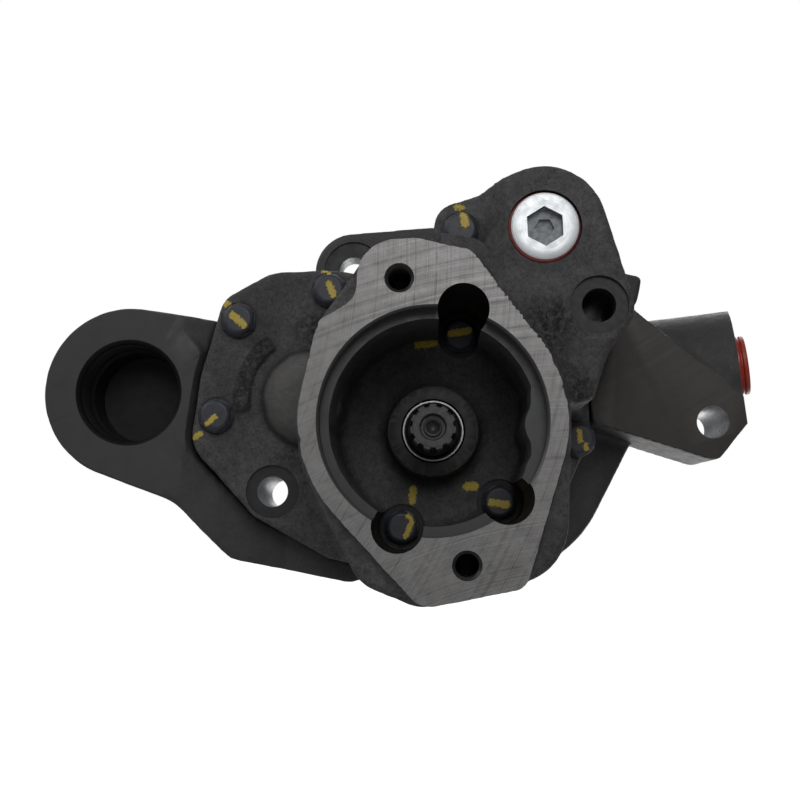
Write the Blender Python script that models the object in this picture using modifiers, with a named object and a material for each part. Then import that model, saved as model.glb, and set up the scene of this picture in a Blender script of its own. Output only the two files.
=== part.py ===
"""Hydraulic gear pump with an auxiliary drive pad on its front cover.

Frame: the origin is on the drive shaft's axis in the plane of the rear mounting face, +X is
to the right seen from the front, +Z is up, and +Y points away from the front, towards the
gearcase that carries and drives the pump. Outlines lie in X and Z and are extruded along Y.
"""

import math

import bmesh
import bpy
from mathutils import Matrix, Vector

MM = 0.001
TURN = 2 * math.pi
ARC_STEP = math.radians(18)
GAP = 0.3 * MM

# Depths along Y, from the front to the rear.
PAD_Y = -115 * MM
SHOULDER_Y = -107 * MM
LOBE_Y = -103.5 * MM
SHAFT_END_Y = -84 * MM
BOSS_Y = -63 * MM
DOME_Y = -60 * MM
DOME_STEP_Y = -56 * MM
PLATE_Y = -48 * MM
SUCTION_FACE_Y = -43 * MM
JOINT_Y = -28 * MM
EAR_Y = -15 * MM
SEAT_Y = 0.0

# The two gears.
TEETH = 12
IDLER = (-50.5 * MM, 14.5 * MM)
CENTRE_DISTANCE = math.hypot(*IDLER)
PITCH_RADIUS = CENTRE_DISTANCE / 2
PRESSURE_ANGLE = math.radians(25)
TIP_RADIUS = 30.1 * MM
ROOT_RADIUS = 21.2 * MM
BACKLASH = 0.5 * MM
GEAR_FRONT_Y = -24 * MM
GEAR_BACK_Y = -9.2 * MM
CHAMBER_RADIUS = 30.6 * MM
CHAMBER_END_Y = -5.2 * MM

# Shafts, bearings and seals.
JOURNAL_RADIUS = 10 * MM
BUSH_RADIUS = 14 * MM
BUSH_LENGTH = 16 * MM
SHAFT_BORE_RADIUS = 10.7 * MM
FRONT_SEAL_RADIUS = 12.3 * MM
REAR_SEAL_RADIUS = 15 * MM
SPLINE_TEETH = 11
SPLINE_TIP_RADIUS = 9.4 * MM
SPLINE_ROOT_RADIUS = 8.2 * MM
REAR_BORE_END_Y = 16 * MM
REAR_HUB_Y = 26 * MM
IDLER_HUB_Y = 16 * MM
SHAFT_REAR_Y = 52 * MM

JOINT_SEAL_RADII = (33.4 * MM, 32 * MM)
OUTLET_SEAL_RADII = (12.3 * MM, 10.5 * MM)
PLATE_SEAL_RADII = (14.1 * MM, 12.3 * MM)
SEAL_ROOM = 0.3 * MM
SEAL_HEIGHT = 1.5 * MM
GROOVE_DEPTH = 1.8 * MM
CIRCLIP_INNER_RADIUS = 12.6 * MM
CIRCLIP_OPENING = (0, -14 * MM)
CIRCLIP_OPENING_RADIUS = 3.4 * MM

# The drive pad at the front: an 82.55 mm pilot bore and two bolts 106.4 mm apart.
PILOT_RADIUS = 41.3 * MM
CAVITY_RADIUS = 38 * MM
CAVITY_RIB = (46 * MM, -4 * MM)
CAVITY_RIB_RADIUS = 13 * MM
SHAFT_BOSS_RADIUS = 18.5 * MM
IDLER_DOME_RADIUS = 18.5 * MM
PAD_BOLT_SPACING = 106.4 * MM
PAD_BOLT_TILT = math.radians(13.1)
PAD_TAP_RADIUS = 4.3 * MM

# Cover screws: the place of each and the plane that its head rests on.
SCREW_RADIUS = 3.9 * MM
SCREW_HOLE_RADIUS = 4.3 * MM
SCREW_HEAD_FLATS = 12.6 * MM
SCREW_HEAD_HEIGHT = 5.2 * MM
SCREW_END_Y = -10 * MM
POCKET_RADIUS = 9.3 * MM
LOBE_SCREW = (10.8 * MM, 74.5 * MM)
LOBE_SCREW_SEAT_Y = -90 * MM
PLATE_SCREWS = [
    (-80.6 * MM, 47.3 * MM),
    (-89.5 * MM, 7.5 * MM),
    (-42.9 * MM, 59.8 * MM),
    (59.3 * MM, -2.7 * MM),
]
POCKET_SCREWS = [
    (11.2 * MM, 40.4 * MM),
    (26.8 * MM, -28.0 * MM),
    (-12.8 * MM, -38.2 * MM),
]
DOWELS = [(-90 * MM, 27 * MM), (42 * MM, -20 * MM)]
DOWEL_RADIUS = 2.9 * MM

# Holes that the pump is bolted to its gearcase through.
LOWER_HOLE = (-66.1 * MM, -23.7 * MM)
LOBE_HOLE = (61.7 * MM, 43.7 * MM)
ARM_HOLE = (114.6 * MM, 4.6 * MM)
EAR_HOLE = (-35.2 * MM, 75.0 * MM)
MOUNT_HOLE_RADIUS = 6.2 * MM
SPOTFACE_RADIUS = 10.9 * MM

# Ports.
OUTLET_PLUG = (41.9 * MM, 73.2 * MM)
PLUG_FLANGE_RADIUS = 12.2 * MM
PLUG_THREAD_RADIUS = 9.6 * MM
PLUG_BORE_RADIUS = 8 * MM
PLUG_SOCKET_CORNER = 8.2 * MM
SUCTION = (-127.8 * MM, 18 * MM)
SUCTION_BOSS_RADIUS = 36.2 * MM
SUCTION_BORE_RADIUS = 20.6 * MM
SUCTION_BORE_END_Y = -8 * MM
PASSAGE_Y = -16 * MM
PASSAGE_RADIUS = 8 * MM
GALLERY_RADIUS = 6.5 * MM
PRESSURE_FACE = Vector((129.5 * MM, -25 * MM, 30.3 * MM))
PRESSURE_OUTWARDS = Vector((0.979, -0.169, 0.114)).normalized()
PRESSURE_BOSS_RADIUS = 24.2 * MM
PRESSURE_BORE_RADIUS = 10 * MM
CAP_RADIUS = 12.6 * MM
CAP_HEIGHT = 4.8 * MM

PLUG_RING_RADII = (13.5 * MM, 12.5 * MM)
PLUG_COUNTERBORE_RADIUS = 13.8 * MM

# Hubs on the rear face.
PILOT_HUB_RADIUS = 41 * MM
BEARING_HUB_RADIUS = 20 * MM
SEAL_HUB_RADIUS = 20.5 * MM
IDLER_HUB_RADIUS = 19 * MM

# Outlines as belts round circles: X, Z and radius in millimetres, counter-clockwise. A
# negative radius is a circle that the belt passes on its outer side.
LOBE_BELT = [
    (57, 11, 3),
    (79, 18.5, -15.5),
    (61.7, 43.7, 13.5),
    (41.9, 73.5, 23.7),
    (12, 99.8, -12),
    (10.8, 75.8, 10.6),
    (8, 44, 2),
    (44, 6, 2),
]
PLATE_BELT = [
    (52, 1, 13),
    (79, 18.5, -15.5),
    (61.7, 43.7, 13.5),
    (41.9, 73.5, 23.7),
    (12, 99.8, -12),
    (10.8, 75.8, 10.6),
    (-27, 79, -12),
    (-42.9, 59.8, 9.3),
    (-62, 47.5, 21),
    (-77.5, 48.5, 12.3),
    (-80, 20, 17.5),
    (-86, 0, 14.2),
    (-66.1, -23.7, 13),
    (-38, -37, 15),
    (8, -40, 22),
    (30, -30, 20),
]
PAD_BELT = [
    (0, 0, 49),
    (12, 58, 4.5),
    (-6, 62, 4.8),
    (-13, 51.5, 15),
    (-36, 49, -8),
    (-38.5, 33.5, 4),
    (0, 0, 49),
    (-1, -56.5, 10),
    (28, -54.5, 6.5),
]
LUG_STEP_BELT = [(10.8, 75.6, 9.8), (8, 104, 9.8), (-16, 104, 10), (-16, 68, 10)]
BELL_BELT = [
    (0, 0, 50.5),
    (12, 58, 5),
    (-13, 51.5, 15.5),
    (-38.5, 33.5, 5),
    (0, 0, 50.5),
    (-16, -47, 15),
    (-4, -54, 13),
    (27, -37, 22),
]
PASSAGE_HOUSING_BELT = [
    (-83.6, 27.9, 19.7),
    (-127.8, 18, 35.4),
    (-121.3, -48.2, -23.5),
    (-79.5, -41.4, 11.3),
    (-36, -48.5, 13),
    (-20, -20, 10),
    (-50, 10, 20),
]
NECK_SLOPE = [(-108, -44), (-107, -50), (-10, -50), (-10, -30.4), (-62, -30)]
EAR_BELT = [
    (90.4, 70.4, 2),
    (0, 75, 20),
    (-35.2, 75, 17.2),
    (-40, 40, 8),
    (60, 20, 8),
    (88.6, 62, 2),
]
FOOT_BELT = [
    (80, 0, 6),
    (20, 10, 6),
    (-20, -40, 10),
    (34, -57.5, 7.6),
    (25, -8, 51.2),
]
ARM_BELT = [
    (124, 12, 5),
    (80, 48, 5),
    (50, 44, 4),
    (48, 14, 4),
    (114.5, -6, 5),
    (125, 7, 5),
]


def tilted(angle, reach=1.0):
    """A point at an angle in X and Z, as a pair."""
    return (math.cos(angle) * reach, math.sin(angle) * reach)


# ---------------------------------------------------------------- scene and materials


def clear_scene():
    for obj in list(bpy.data.objects):
        bpy.data.objects.remove(obj)


def start_collection():
    parts = bpy.data.collections.new("gear_pump")
    bpy.context.scene.collection.children.link(parts)
    return parts


def make_material(name, colour, metallic, roughness):
    material = bpy.data.materials.new(name)
    material.use_nodes = True
    shader = material.node_tree.nodes["Principled BSDF"]
    shader.inputs["Base Color"].default_value = (*colour, 1)
    shader.inputs["Metallic"].default_value = metallic
    shader.inputs["Roughness"].default_value = roughness
    material.diffuse_color = (*colour, 1)
    return material


def make_materials():
    return {
        "cover": make_material("cover_iron", (0.035, 0.036, 0.038), 0.2, 0.6),
        "body": make_material("body_iron", (0.045, 0.044, 0.043), 0.2, 0.5),
        "steel": make_material("gear_steel", (0.42, 0.42, 0.43), 1.0, 0.35),
        "bronze": make_material("bearing_bronze", (0.55, 0.38, 0.2), 1.0, 0.4),
        "rubber": make_material("seal_rubber", (0.02, 0.02, 0.02), 0.0, 0.7),
        "seal_case": make_material("seal_case_steel", (0.6, 0.6, 0.6), 1.0, 0.3),
        "screw": make_material("screw_steel", (0.03, 0.035, 0.045), 0.8, 0.4),
        "zinc": make_material("plug_zinc", (0.75, 0.76, 0.78), 1.0, 0.3),
        "red_ring": make_material("o_ring_red", (0.25, 0.03, 0.02), 0.0, 0.5),
        "red_plastic": make_material("cap_plastic", (0.75, 0.09, 0.03), 0.0, 0.4),
    }


# ---------------------------------------------------------------- outlines


def tangent_angle(start, end):
    """The heading of the belt's straight run from one circle to the next."""
    run = Vector((end[0] - start[0], end[1] - start[1]))
    return math.atan2(run.y, run.x) - math.asin((end[2] - start[2]) / run.length)


def belt(stops, grow=0.0):
    """The outline, in metres, of a belt round circles given in millimetres."""
    circles = [(x * MM, z * MM, radius * MM + grow) for x, z, radius in stops]
    outline = []
    for index, circle in enumerate(circles):
        heading = tangent_angle(circles[index - 1], circle)
        leaving = tangent_angle(circle, circles[(index + 1) % len(circles)])
        x, z, radius = circle
        sweep = (leaving - heading) % TURN if radius > 0 else -((heading - leaving) % TURN)
        steps = max(1, round(abs(sweep) / ARC_STEP))
        for step in range(steps + 1):
            angle = heading + sweep * step / steps
            outline.append((x + math.sin(angle) * radius, z - math.cos(angle) * radius))
    return outline


def twin_belt(radius):
    """A belt of one radius round both gear axes."""
    reach = radius / MM
    return belt([(0, 0, reach), (IDLER[0] / MM, IDLER[1] / MM, reach)])


def involute(angle):
    return math.tan(angle) - angle


def gear_outline(tooth_heading):
    """A spur gear's outline with one tooth centred on a heading."""
    base_radius = PITCH_RADIUS * math.cos(PRESSURE_ANGLE)
    half_pitch_angle = TURN / TEETH / 4 - BACKLASH / PITCH_RADIUS / 2
    base_half_angle = half_pitch_angle + involute(PRESSURE_ANGLE)
    flank = [(ROOT_RADIUS, base_half_angle + 0.02), (base_radius, base_half_angle)]
    for step in range(1, 3):
        radius = base_radius + (TIP_RADIUS - base_radius) * step / 2
        flank.append((radius, base_half_angle - involute(math.acos(base_radius / radius))))
    outline = []
    for tooth in range(TEETH):
        centre = tooth_heading + TURN * tooth / TEETH
        outline += [tilted(centre - half, radius) for radius, half in flank]
        outline += [tilted(centre + half, radius) for radius, half in reversed(flank)]
    return outline


def spline_outline():
    """The straight-flanked outline of the shaft's splined ends."""
    pitch = TURN / SPLINE_TEETH
    outline = []
    for tooth in range(SPLINE_TEETH):
        centre = TURN / 4 + pitch * tooth
        outline.append(tilted(centre - 0.34 * pitch, SPLINE_ROOT_RADIUS))
        outline.append(tilted(centre - 0.18 * pitch, SPLINE_TIP_RADIUS))
        outline.append(tilted(centre + 0.18 * pitch, SPLINE_TIP_RADIUS))
        outline.append(tilted(centre + 0.34 * pitch, SPLINE_ROOT_RADIUS))
    return outline


# ---------------------------------------------------------------- solids


def link(name, data):
    obj = bpy.data.objects.new(name, data)
    bpy.context.scene.collection.objects.link(obj)
    return obj


def evaluated_mesh(obj):
    """The object's mesh with its modifiers and its placing applied."""
    bpy.context.view_layer.update()
    graph = bpy.context.evaluated_depsgraph_get()
    mesh = bpy.data.meshes.new_from_object(obj.evaluated_get(graph))
    mesh.transform(obj.matrix_world)
    return mesh


def bake(obj):
    """The same solid as a plain mesh object, welded, with the first object removed."""
    mesh = evaluated_mesh(obj)
    name = obj.name
    bpy.data.objects.remove(obj)
    shape = bmesh.new()
    shape.from_mesh(mesh)
    bmesh.ops.remove_doubles(shape, verts=shape.verts, dist=1e-6)
    bmesh.ops.recalc_face_normals(shape, faces=shape.faces)
    shape.to_mesh(mesh)
    shape.free()
    return link(name, mesh)


def prism(outline, front, back, name="prism"):
    """A flat outline in X and Z, extruded from one depth to another."""
    curve = bpy.data.curves.new(name, "CURVE")
    curve.dimensions = "2D"
    curve.fill_mode = "BOTH"
    curve.extrude = (back - front) / 2
    line = curve.splines.new("POLY")
    line.points.add(len(outline) - 1)
    for point, (x, z) in zip(line.points, outline):
        point.co = (x, z, 0, 1)
    line.use_cyclic_u = True
    obj = link(name, curve)
    obj.location.y = (front + back) / 2
    obj.rotation_euler.x = TURN / 4
    return bake(obj)


def rod(start, end, radius, end_radius=None, sides=24, name="rod"):
    """A cylinder or cone frustum between two points."""
    start, end = Vector(start), Vector(end)
    run = end - start
    shape = bmesh.new()
    bmesh.ops.create_cone(
        shape,
        cap_ends=True,
        segments=sides,
        radius1=radius,
        radius2=radius if end_radius is None else end_radius,
        depth=run.length,
    )
    turn = run.to_track_quat("Z", "Y").to_matrix().to_4x4()
    shape.transform(Matrix.Translation((start + end) / 2) @ turn)
    mesh = bpy.data.meshes.new(name)
    shape.to_mesh(mesh)
    shape.free()
    return link(name, mesh)


def drum(place, radius, front, back, back_radius=None, sides=24, name="drum"):
    """A cylinder or frustum along Y, centred on a place in X and Z."""
    start = (place[0], front, place[1])
    end = (place[0], back, place[1])
    return rod(start, end, radius, back_radius, sides, name)


def countersink(place, radius, face, width, sides):
    """A cutter for a 45 degree chamfer on a hole's rim in a face that looks forwards."""
    reach = 0.5 * MM
    front, back = face - reach, face + width + reach
    return drum(place, radius + width + reach, front, back, radius - reach, sides)


def turned(name, profile, sides=24, closed=True):
    """A turned solid along Y from (radius, depth) points that run front to back outside."""
    mesh = bpy.data.meshes.new(name)
    points = [(radius, 0, -depth) for radius, depth in profile]
    count = len(points)
    edges = [(index, (index + 1) % count) for index in range(count - (not closed))]
    mesh.from_pydata(points, edges, [])
    obj = link(name, mesh)
    screw = obj.modifiers.new("turn", "SCREW")
    screw.steps = sides
    screw.render_steps = sides
    screw.use_merge_vertices = True
    screw.merge_threshold = 1e-5
    obj.rotation_euler.x = TURN / 4
    return obj


def ring(name, outer, inner, front, back, place=(0, 0), sides=20):
    profile = [(inner, front), (outer, front), (outer, back), (inner, back)]
    obj = turned(name, profile, sides)
    obj.location = (place[0], 0, place[1])
    return obj


def is_closed(mesh):
    shape = bmesh.new()
    shape.from_mesh(mesh)
    closed = all(edge.is_manifold for edge in shape.edges)
    shape.free()
    return closed


def combine(target, tool, operation):
    """Applies a Boolean with the tool to the target and removes the tool.

    The solver's tolerances suit large shapes, so both are enlarged for the cut. Where the
    exact solver leaves an open edge, the manifold solver takes its place.
    """
    enlarge = Matrix.Scale(1 / MM, 4)
    for obj in (target, tool):
        mesh = evaluated_mesh(obj)
        mesh.transform(enlarge)
        obj.modifiers.clear()
        obj.data = mesh
        obj.matrix_world = Matrix()
    modifier = target.modifiers.new("combine", "BOOLEAN")
    modifier.object = tool
    modifier.operation = operation
    for solver in ("EXACT", "MANIFOLD"):
        modifier.solver = solver
        mesh = evaluated_mesh(target)
        if is_closed(mesh):
            break
    mesh.transform(enlarge.inverted())
    target.modifiers.clear()
    target.data = mesh
    bpy.data.objects.remove(tool)


def add(target, *tools):
    for tool in tools:
        combine(target, tool, "UNION")


def cut(target, *tools):
    for tool in tools:
        combine(target, tool, "DIFFERENCE")


def finish(obj, parts, root, material):
    """Puts a finished piece in the object's collection, under its root."""
    bpy.context.scene.collection.objects.unlink(obj)
    parts.objects.link(obj)
    obj.parent = root
    obj.data.materials.clear()
    obj.data.materials.append(material)
    obj.data.shade_smooth()
    if not obj.modifiers:
        obj.data.set_sharp_from_angle(angle=math.radians(32))


# ---------------------------------------------------------------- front cover


def pad_bolt_places():
    """The two tapped holes of the drive pad, on a line tilted from upright."""
    heading = TURN / 4 + PAD_BOLT_TILT
    top = tilted(heading, PAD_BOLT_SPACING / 2)
    return [top, (-top[0], -top[1])]


def cut_bell(cover):
    """The pilot recess, and the cavity with the rib on its right-hand wall."""
    cavity = drum((0, 0), CAVITY_RADIUS, SHOULDER_Y - 1 * MM, PLATE_Y, sides=36)
    rib = drum(CAVITY_RIB, CAVITY_RIB_RADIUS, SHOULDER_Y - 2 * MM, PLATE_Y + 1 * MM)
    cut(cavity, rib)
    cut(
        cover,
        cavity,
        drum((0, 0), PILOT_RADIUS, PAD_Y - 1 * MM, SHOULDER_Y, sides=36),
        countersink((0, 0), PILOT_RADIUS, PAD_Y, 0.8 * MM, 36),
    )


def cut_screw_seats(cover):
    for place in POCKET_SCREWS:
        cut(cover, drum(place, POCKET_RADIUS, PAD_Y - 1 * MM, PLATE_Y, sides=24))
    for place in PLATE_SCREWS + POCKET_SCREWS + [LOBE_SCREW]:
        cut(cover, drum(place, SCREW_HOLE_RADIUS, PAD_Y, JOINT_Y + 1 * MM, sides=12))
    for place in DOWELS:
        cut(cover, drum(place, DOWEL_RADIUS + GAP, -39 * MM, JOINT_Y + 1 * MM, sides=12))


def cut_cover_mount_holes(cover):
    for place in (LOWER_HOLE, LOBE_HOLE):
        cut(cover, drum(place, MOUNT_HOLE_RADIUS, PAD_Y, JOINT_Y + 1 * MM, sides=24))
    cut(cover, drum(LOWER_HOLE, SPOTFACE_RADIUS, PLATE_Y - 5 * MM, PLATE_Y + 1 * MM, sides=24))
    cut(cover, drum(LOBE_HOLE, SPOTFACE_RADIUS, LOBE_Y - 5 * MM, LOBE_Y + 1.5 * MM, sides=24))


def cut_outlet(cover):
    """The plugged outlet: counterbore, thread and the bore down to the body."""
    cut(
        cover,
        drum(OUTLET_PLUG, PLUG_COUNTERBORE_RADIUS, LOBE_Y - 1 * MM, LOBE_Y + 2.5 * MM),
        drum(OUTLET_PLUG, PLUG_THREAD_RADIUS + GAP, LOBE_Y, LOBE_Y + 18 * MM, sides=24),
        drum(OUTLET_PLUG, PLUG_BORE_RADIUS, LOBE_Y, JOINT_Y + 1 * MM, sides=24),
    )


def cut_pad_taps(cover):
    for place in pad_bolt_places():
        cut(cover, drum(place, PAD_TAP_RADIUS, PAD_Y - 1 * MM, PAD_Y + 26 * MM, sides=14))
        cut(cover, countersink(place, PAD_TAP_RADIUS, PAD_Y, 1.2 * MM, 14))


def cut_cover_bearings(cover):
    """Bush bores from the joint, and the seal's recess from the front."""
    bore_end = JOINT_Y - BUSH_LENGTH - 1 * MM
    for place in ((0, 0), IDLER):
        cut(cover, drum(place, BUSH_RADIUS + GAP, bore_end, JOINT_Y + 1 * MM))
    cut(
        cover,
        drum((0, 0), SHAFT_BORE_RADIUS, BOSS_Y, JOINT_Y),
        drum((0, 0), FRONT_SEAL_RADIUS + GAP, BOSS_Y - 1 * MM, BOSS_Y + 9.5 * MM),
    )


def make_lobe():
    """The thick lobe that holds the outlet, stepped down round the long screw's head."""
    lobe = prism(belt(LOBE_BELT), LOBE_Y, PLATE_Y + 3 * MM)
    cut(lobe, prism(belt(LUG_STEP_BELT), LOBE_Y - 1 * MM, LOBE_SCREW_SEAT_Y))
    return lobe


def make_front_cover():
    back = JOINT_Y - GAP / 2
    cover = prism(belt(PLATE_BELT), PLATE_Y, back, "front_cover")
    add(
        cover,
        prism(belt(BELL_BELT), PAD_Y + 5 * MM, PLATE_Y + 2 * MM),
        prism(belt(PAD_BELT), PAD_Y, PAD_Y + 14 * MM),
        make_lobe(),
        drum(IDLER, IDLER_DOME_RADIUS, DOME_STEP_Y, PLATE_Y + 4 * MM),
        drum(IDLER, 12 * MM, DOME_Y, DOME_STEP_Y, IDLER_DOME_RADIUS),
    )
    cut_bell(cover)
    add(cover, drum((0, 0), SHAFT_BOSS_RADIUS, BOSS_Y, PLATE_Y + 4 * MM, SHAFT_BOSS_RADIUS + 1 * MM))
    cut_cover_bearings(cover)
    cut_screw_seats(cover)
    cut_cover_mount_holes(cover)
    cut_outlet(cover)
    cut_pad_taps(cover)
    return cover


# ---------------------------------------------------------------- pump body


def pressure_point(reach):
    """A point on the pressure port's axis, measured inwards from its face."""
    return PRESSURE_FACE - reach * PRESSURE_OUTWARDS


def cut_chambers(body):
    """The gear chambers, the rear bush bores and the shaft's way out at the rear."""
    front = JOINT_Y - 1 * MM
    bore_end = CHAMBER_END_Y + BUSH_LENGTH + 0.6 * MM
    for place in ((0, 0), IDLER):
        cut(body, drum(place, CHAMBER_RADIUS, front, CHAMBER_END_Y, sides=36))
        cut(body, drum(place, BUSH_RADIUS + GAP, front, bore_end))
    cut(
        body,
        drum((0, 0), SHAFT_BORE_RADIUS, SEAT_Y, REAR_HUB_Y + 1 * MM),
        drum((0, 0), REAR_SEAL_RADIUS + GAP, REAR_BORE_END_Y, REAR_HUB_Y + 1 * MM),
    )


def passage_rod(start, end, radius, y=PASSAGE_Y):
    """A drilled or cored way between two places given in millimetres."""
    first = (start[0] * MM, y, start[1] * MM)
    last = (end[0] * MM, y, end[1] * MM)
    return rod(first, last, radius, sides=12)


def cut_suction_way(body):
    """The suction bore, and its passage below the idler gear to the mesh."""
    cut(body, drum(SUCTION, SUCTION_BORE_RADIUS, SUCTION_FACE_Y - 1 * MM, SUCTION_BORE_END_Y))
    cut(body, countersink(SUCTION, SUCTION_BORE_RADIUS, SUCTION_FACE_Y, 1.5 * MM, 24))
    route = [(-120, 8), (-81.5, -40), (-36, -46), (-29, -8)]
    for start, end in zip(route, route[1:]):
        cut(body, passage_rod(start, end, PASSAGE_RADIUS))
        if end != route[-1]:
            bend_start, bend_end = (end[0], end[1] - 6), (end[0], end[1] + 6)
            cut(body, passage_rod(bend_start, bend_end, PASSAGE_RADIUS * 0.92))


def cut_pressure_way(body):
    """From the top of the mesh through the gallery to the pressure port."""
    cut(
        body,
        passage_rod((-20, 27), (-11, 57), GALLERY_RADIUS),
        passage_rod((-14, 55.7), (83, 64), GALLERY_RADIUS),
        passage_rod((79, 66), (79, 20), GALLERY_RADIUS),
        drum(OUTLET_PLUG, PLUG_BORE_RADIUS, JOINT_Y - 1 * MM, PASSAGE_Y + 5 * MM, sides=24),
        rod(pressure_point(-1 * MM), pressure_point(60 * MM), PRESSURE_BORE_RADIUS, sides=24),
    )


def cut_body_holes(body):
    for place in PLATE_SCREWS + POCKET_SCREWS + [LOBE_SCREW]:
        hole_end = SCREW_END_Y + 2 * MM
        cut(body, drum(place, SCREW_HOLE_RADIUS, JOINT_Y - 1 * MM, hole_end, sides=12))
    for place in (LOWER_HOLE, LOBE_HOLE, EAR_HOLE):
        cut(body, drum(place, MOUNT_HOLE_RADIUS, PLATE_Y, SEAT_Y + 1 * MM, sides=24))
    arm_hole = MOUNT_HOLE_RADIUS + 0.3 * MM
    cut(body, drum(ARM_HOLE, arm_hole, PLATE_Y - 2 * MM, SEAT_Y + 1 * MM, sides=24))
    cut(body, drum(EAR_HOLE, 13 * MM, EAR_Y - 4 * MM, EAR_Y + 0.8 * MM, sides=24))
    for place in DOWELS:
        cut(body, drum(place, DOWEL_RADIUS + GAP, JOINT_Y - 1 * MM, -17 * MM, sides=12))


def cut_joint_grooves(body):
    """Grooves for the joint seal and for the small seal round the outlet bore."""
    depth = JOINT_Y + GROOVE_DEPTH
    outer, inner = JOINT_SEAL_RADII
    groove = prism(twin_belt(outer + SEAL_ROOM), JOINT_Y - 1 * MM, depth)
    cut(groove, prism(twin_belt(inner - SEAL_ROOM), JOINT_Y - 2 * MM, depth + 1 * MM))
    outer, inner = OUTLET_SEAL_RADII
    small = drum(OUTLET_PLUG, outer + SEAL_ROOM, JOINT_Y - 1 * MM, depth)
    cut(small, drum(OUTLET_PLUG, inner - SEAL_ROOM, JOINT_Y - 2 * MM, depth + 1 * MM))
    cut(body, groove, small)


def make_neck():
    """The suction passage's housing, whose front falls from the port towards the cover."""
    neck = prism(belt(PASSAGE_HOUSING_BELT), SUCTION_FACE_Y + 0.4 * MM, -1 * MM)
    slope = prism([(x * MM, y * MM) for x, y in NECK_SLOPE], -90 * MM, 90 * MM)
    slope.data.transform(Matrix.Rotation(-TURN / 4, 4, "X"))
    cut(neck, slope)
    return neck


def make_pump_body():
    front = JOINT_Y + GAP / 2
    body = prism(belt(PLATE_BELT), front, SEAT_Y + 4 * MM, "pump_body")
    arm = prism(belt(ARM_BELT), PLATE_Y, SEAT_Y + 2 * MM)
    pressure_boss = rod(pressure_point(0), pressure_point(48 * MM), PRESSURE_BOSS_RADIUS, 25 * MM)
    add(arm, pressure_boss)
    suction_boss = drum(SUCTION, SUCTION_BOSS_RADIUS, SUCTION_FACE_Y, -2 * MM, sides=36)
    add(suction_boss, make_neck())
    for piece in (arm, suction_boss):
        cut(piece, prism(belt(PLATE_BELT, 0.6 * MM), PLATE_Y - 5 * MM, front + 2 * MM))
    add(
        body,
        arm,
        suction_boss,
        prism(belt(EAR_BELT), EAR_Y, SEAT_Y + 3 * MM),
        prism(belt(FOOT_BELT), -19 * MM, SEAT_Y + 5 * MM),
    )
    cut(body, drum((0, 0), 200 * MM, SEAT_Y, SEAT_Y + 10 * MM, sides=12))
    add(
        body,
        prism(twin_belt(BEARING_HUB_RADIUS), -3 * MM, 11 * MM),
        drum((0, 0), PILOT_HUB_RADIUS, -4 * MM, 6 * MM, sides=30),
        drum(IDLER, IDLER_HUB_RADIUS, -5 * MM, IDLER_HUB_Y),
        drum((0, 0), SEAL_HUB_RADIUS, -6 * MM, REAR_HUB_Y),
    )
    cut_chambers(body)
    cut_suction_way(body)
    cut_pressure_way(body)
    cut_body_holes(body)
    cut_joint_grooves(body)
    return body


# ---------------------------------------------------------------- rotating parts


def make_drive_shaft():
    """The drive gear on its shaft, splined at both ends."""
    neck = SHAFT_END_Y + 18 * MM
    rear_neck = REAR_HUB_Y + 4 * MM
    profile = [
        (0, SHAFT_END_Y + 4 * MM),
        (3.3 * MM, SHAFT_END_Y + 1.5 * MM),
        (4.9 * MM, SHAFT_END_Y + 1.5 * MM),
        (4.9 * MM, SHAFT_END_Y),
        (8 * MM, SHAFT_END_Y),
        (8 * MM, neck),
        (JOURNAL_RADIUS, neck + 2 * MM),
        (JOURNAL_RADIUS, rear_neck),
        (8 * MM, rear_neck + 2 * MM),
        (8 * MM, SHAFT_REAR_Y),
        (0, SHAFT_REAR_Y),
    ]
    shaft = bake(turned("drive_gear_shaft", profile, 20, closed=False))
    splines = spline_outline()
    heading = math.atan2(IDLER[1], IDLER[0])
    gear = prism(gear_outline(heading), GEAR_FRONT_Y, GEAR_BACK_Y)
    front_spline = prism(splines, SHAFT_END_Y + 0.6 * MM, neck + 1 * MM)
    cut(front_spline, drum((0, 0), 6 * MM, SHAFT_END_Y - 1 * MM, neck + 2 * MM))
    rear_spline = prism(splines, rear_neck + 1 * MM, SHAFT_REAR_Y - 1 * MM)
    add(shaft, gear, front_spline, rear_spline)
    return shaft


def make_idler_shaft():
    """The idler gear and its plain shaft, made on its own axis."""
    chamfer = 0.8 * MM
    front = JOINT_Y - BUSH_LENGTH
    back = CHAMBER_END_Y + BUSH_LENGTH
    profile = [
        (0, front),
        (JOURNAL_RADIUS - chamfer, front),
        (JOURNAL_RADIUS, front + chamfer),
        (JOURNAL_RADIUS, back - chamfer),
        (JOURNAL_RADIUS - chamfer, back),
        (0, back),
    ]
    shaft = bake(turned("idler_gear_shaft", profile, 20, closed=False))
    heading = math.atan2(-IDLER[1], -IDLER[0]) + TURN / TEETH / 2
    add(shaft, prism(gear_outline(heading), GEAR_FRONT_Y, GEAR_BACK_Y))
    shaft.location = (IDLER[0], 0, IDLER[1])
    return shaft


# ---------------------------------------------------------------- bearings, plates and seals


def make_bushes():
    front = JOINT_Y - BUSH_LENGTH
    back = CHAMBER_END_Y + GAP
    inner = JOURNAL_RADIUS + 0.3 * MM
    bushes = []
    for axis, place in (("drive", (0, 0)), ("idler", IDLER)):
        for end, start in (("front", front), ("rear", back)):
            stop = start + BUSH_LENGTH - 2 * GAP
            name = f"{end}_{axis}_bush"
            bushes.append(ring(name, BUSH_RADIUS, inner, start, stop, place))
    return bushes


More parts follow.
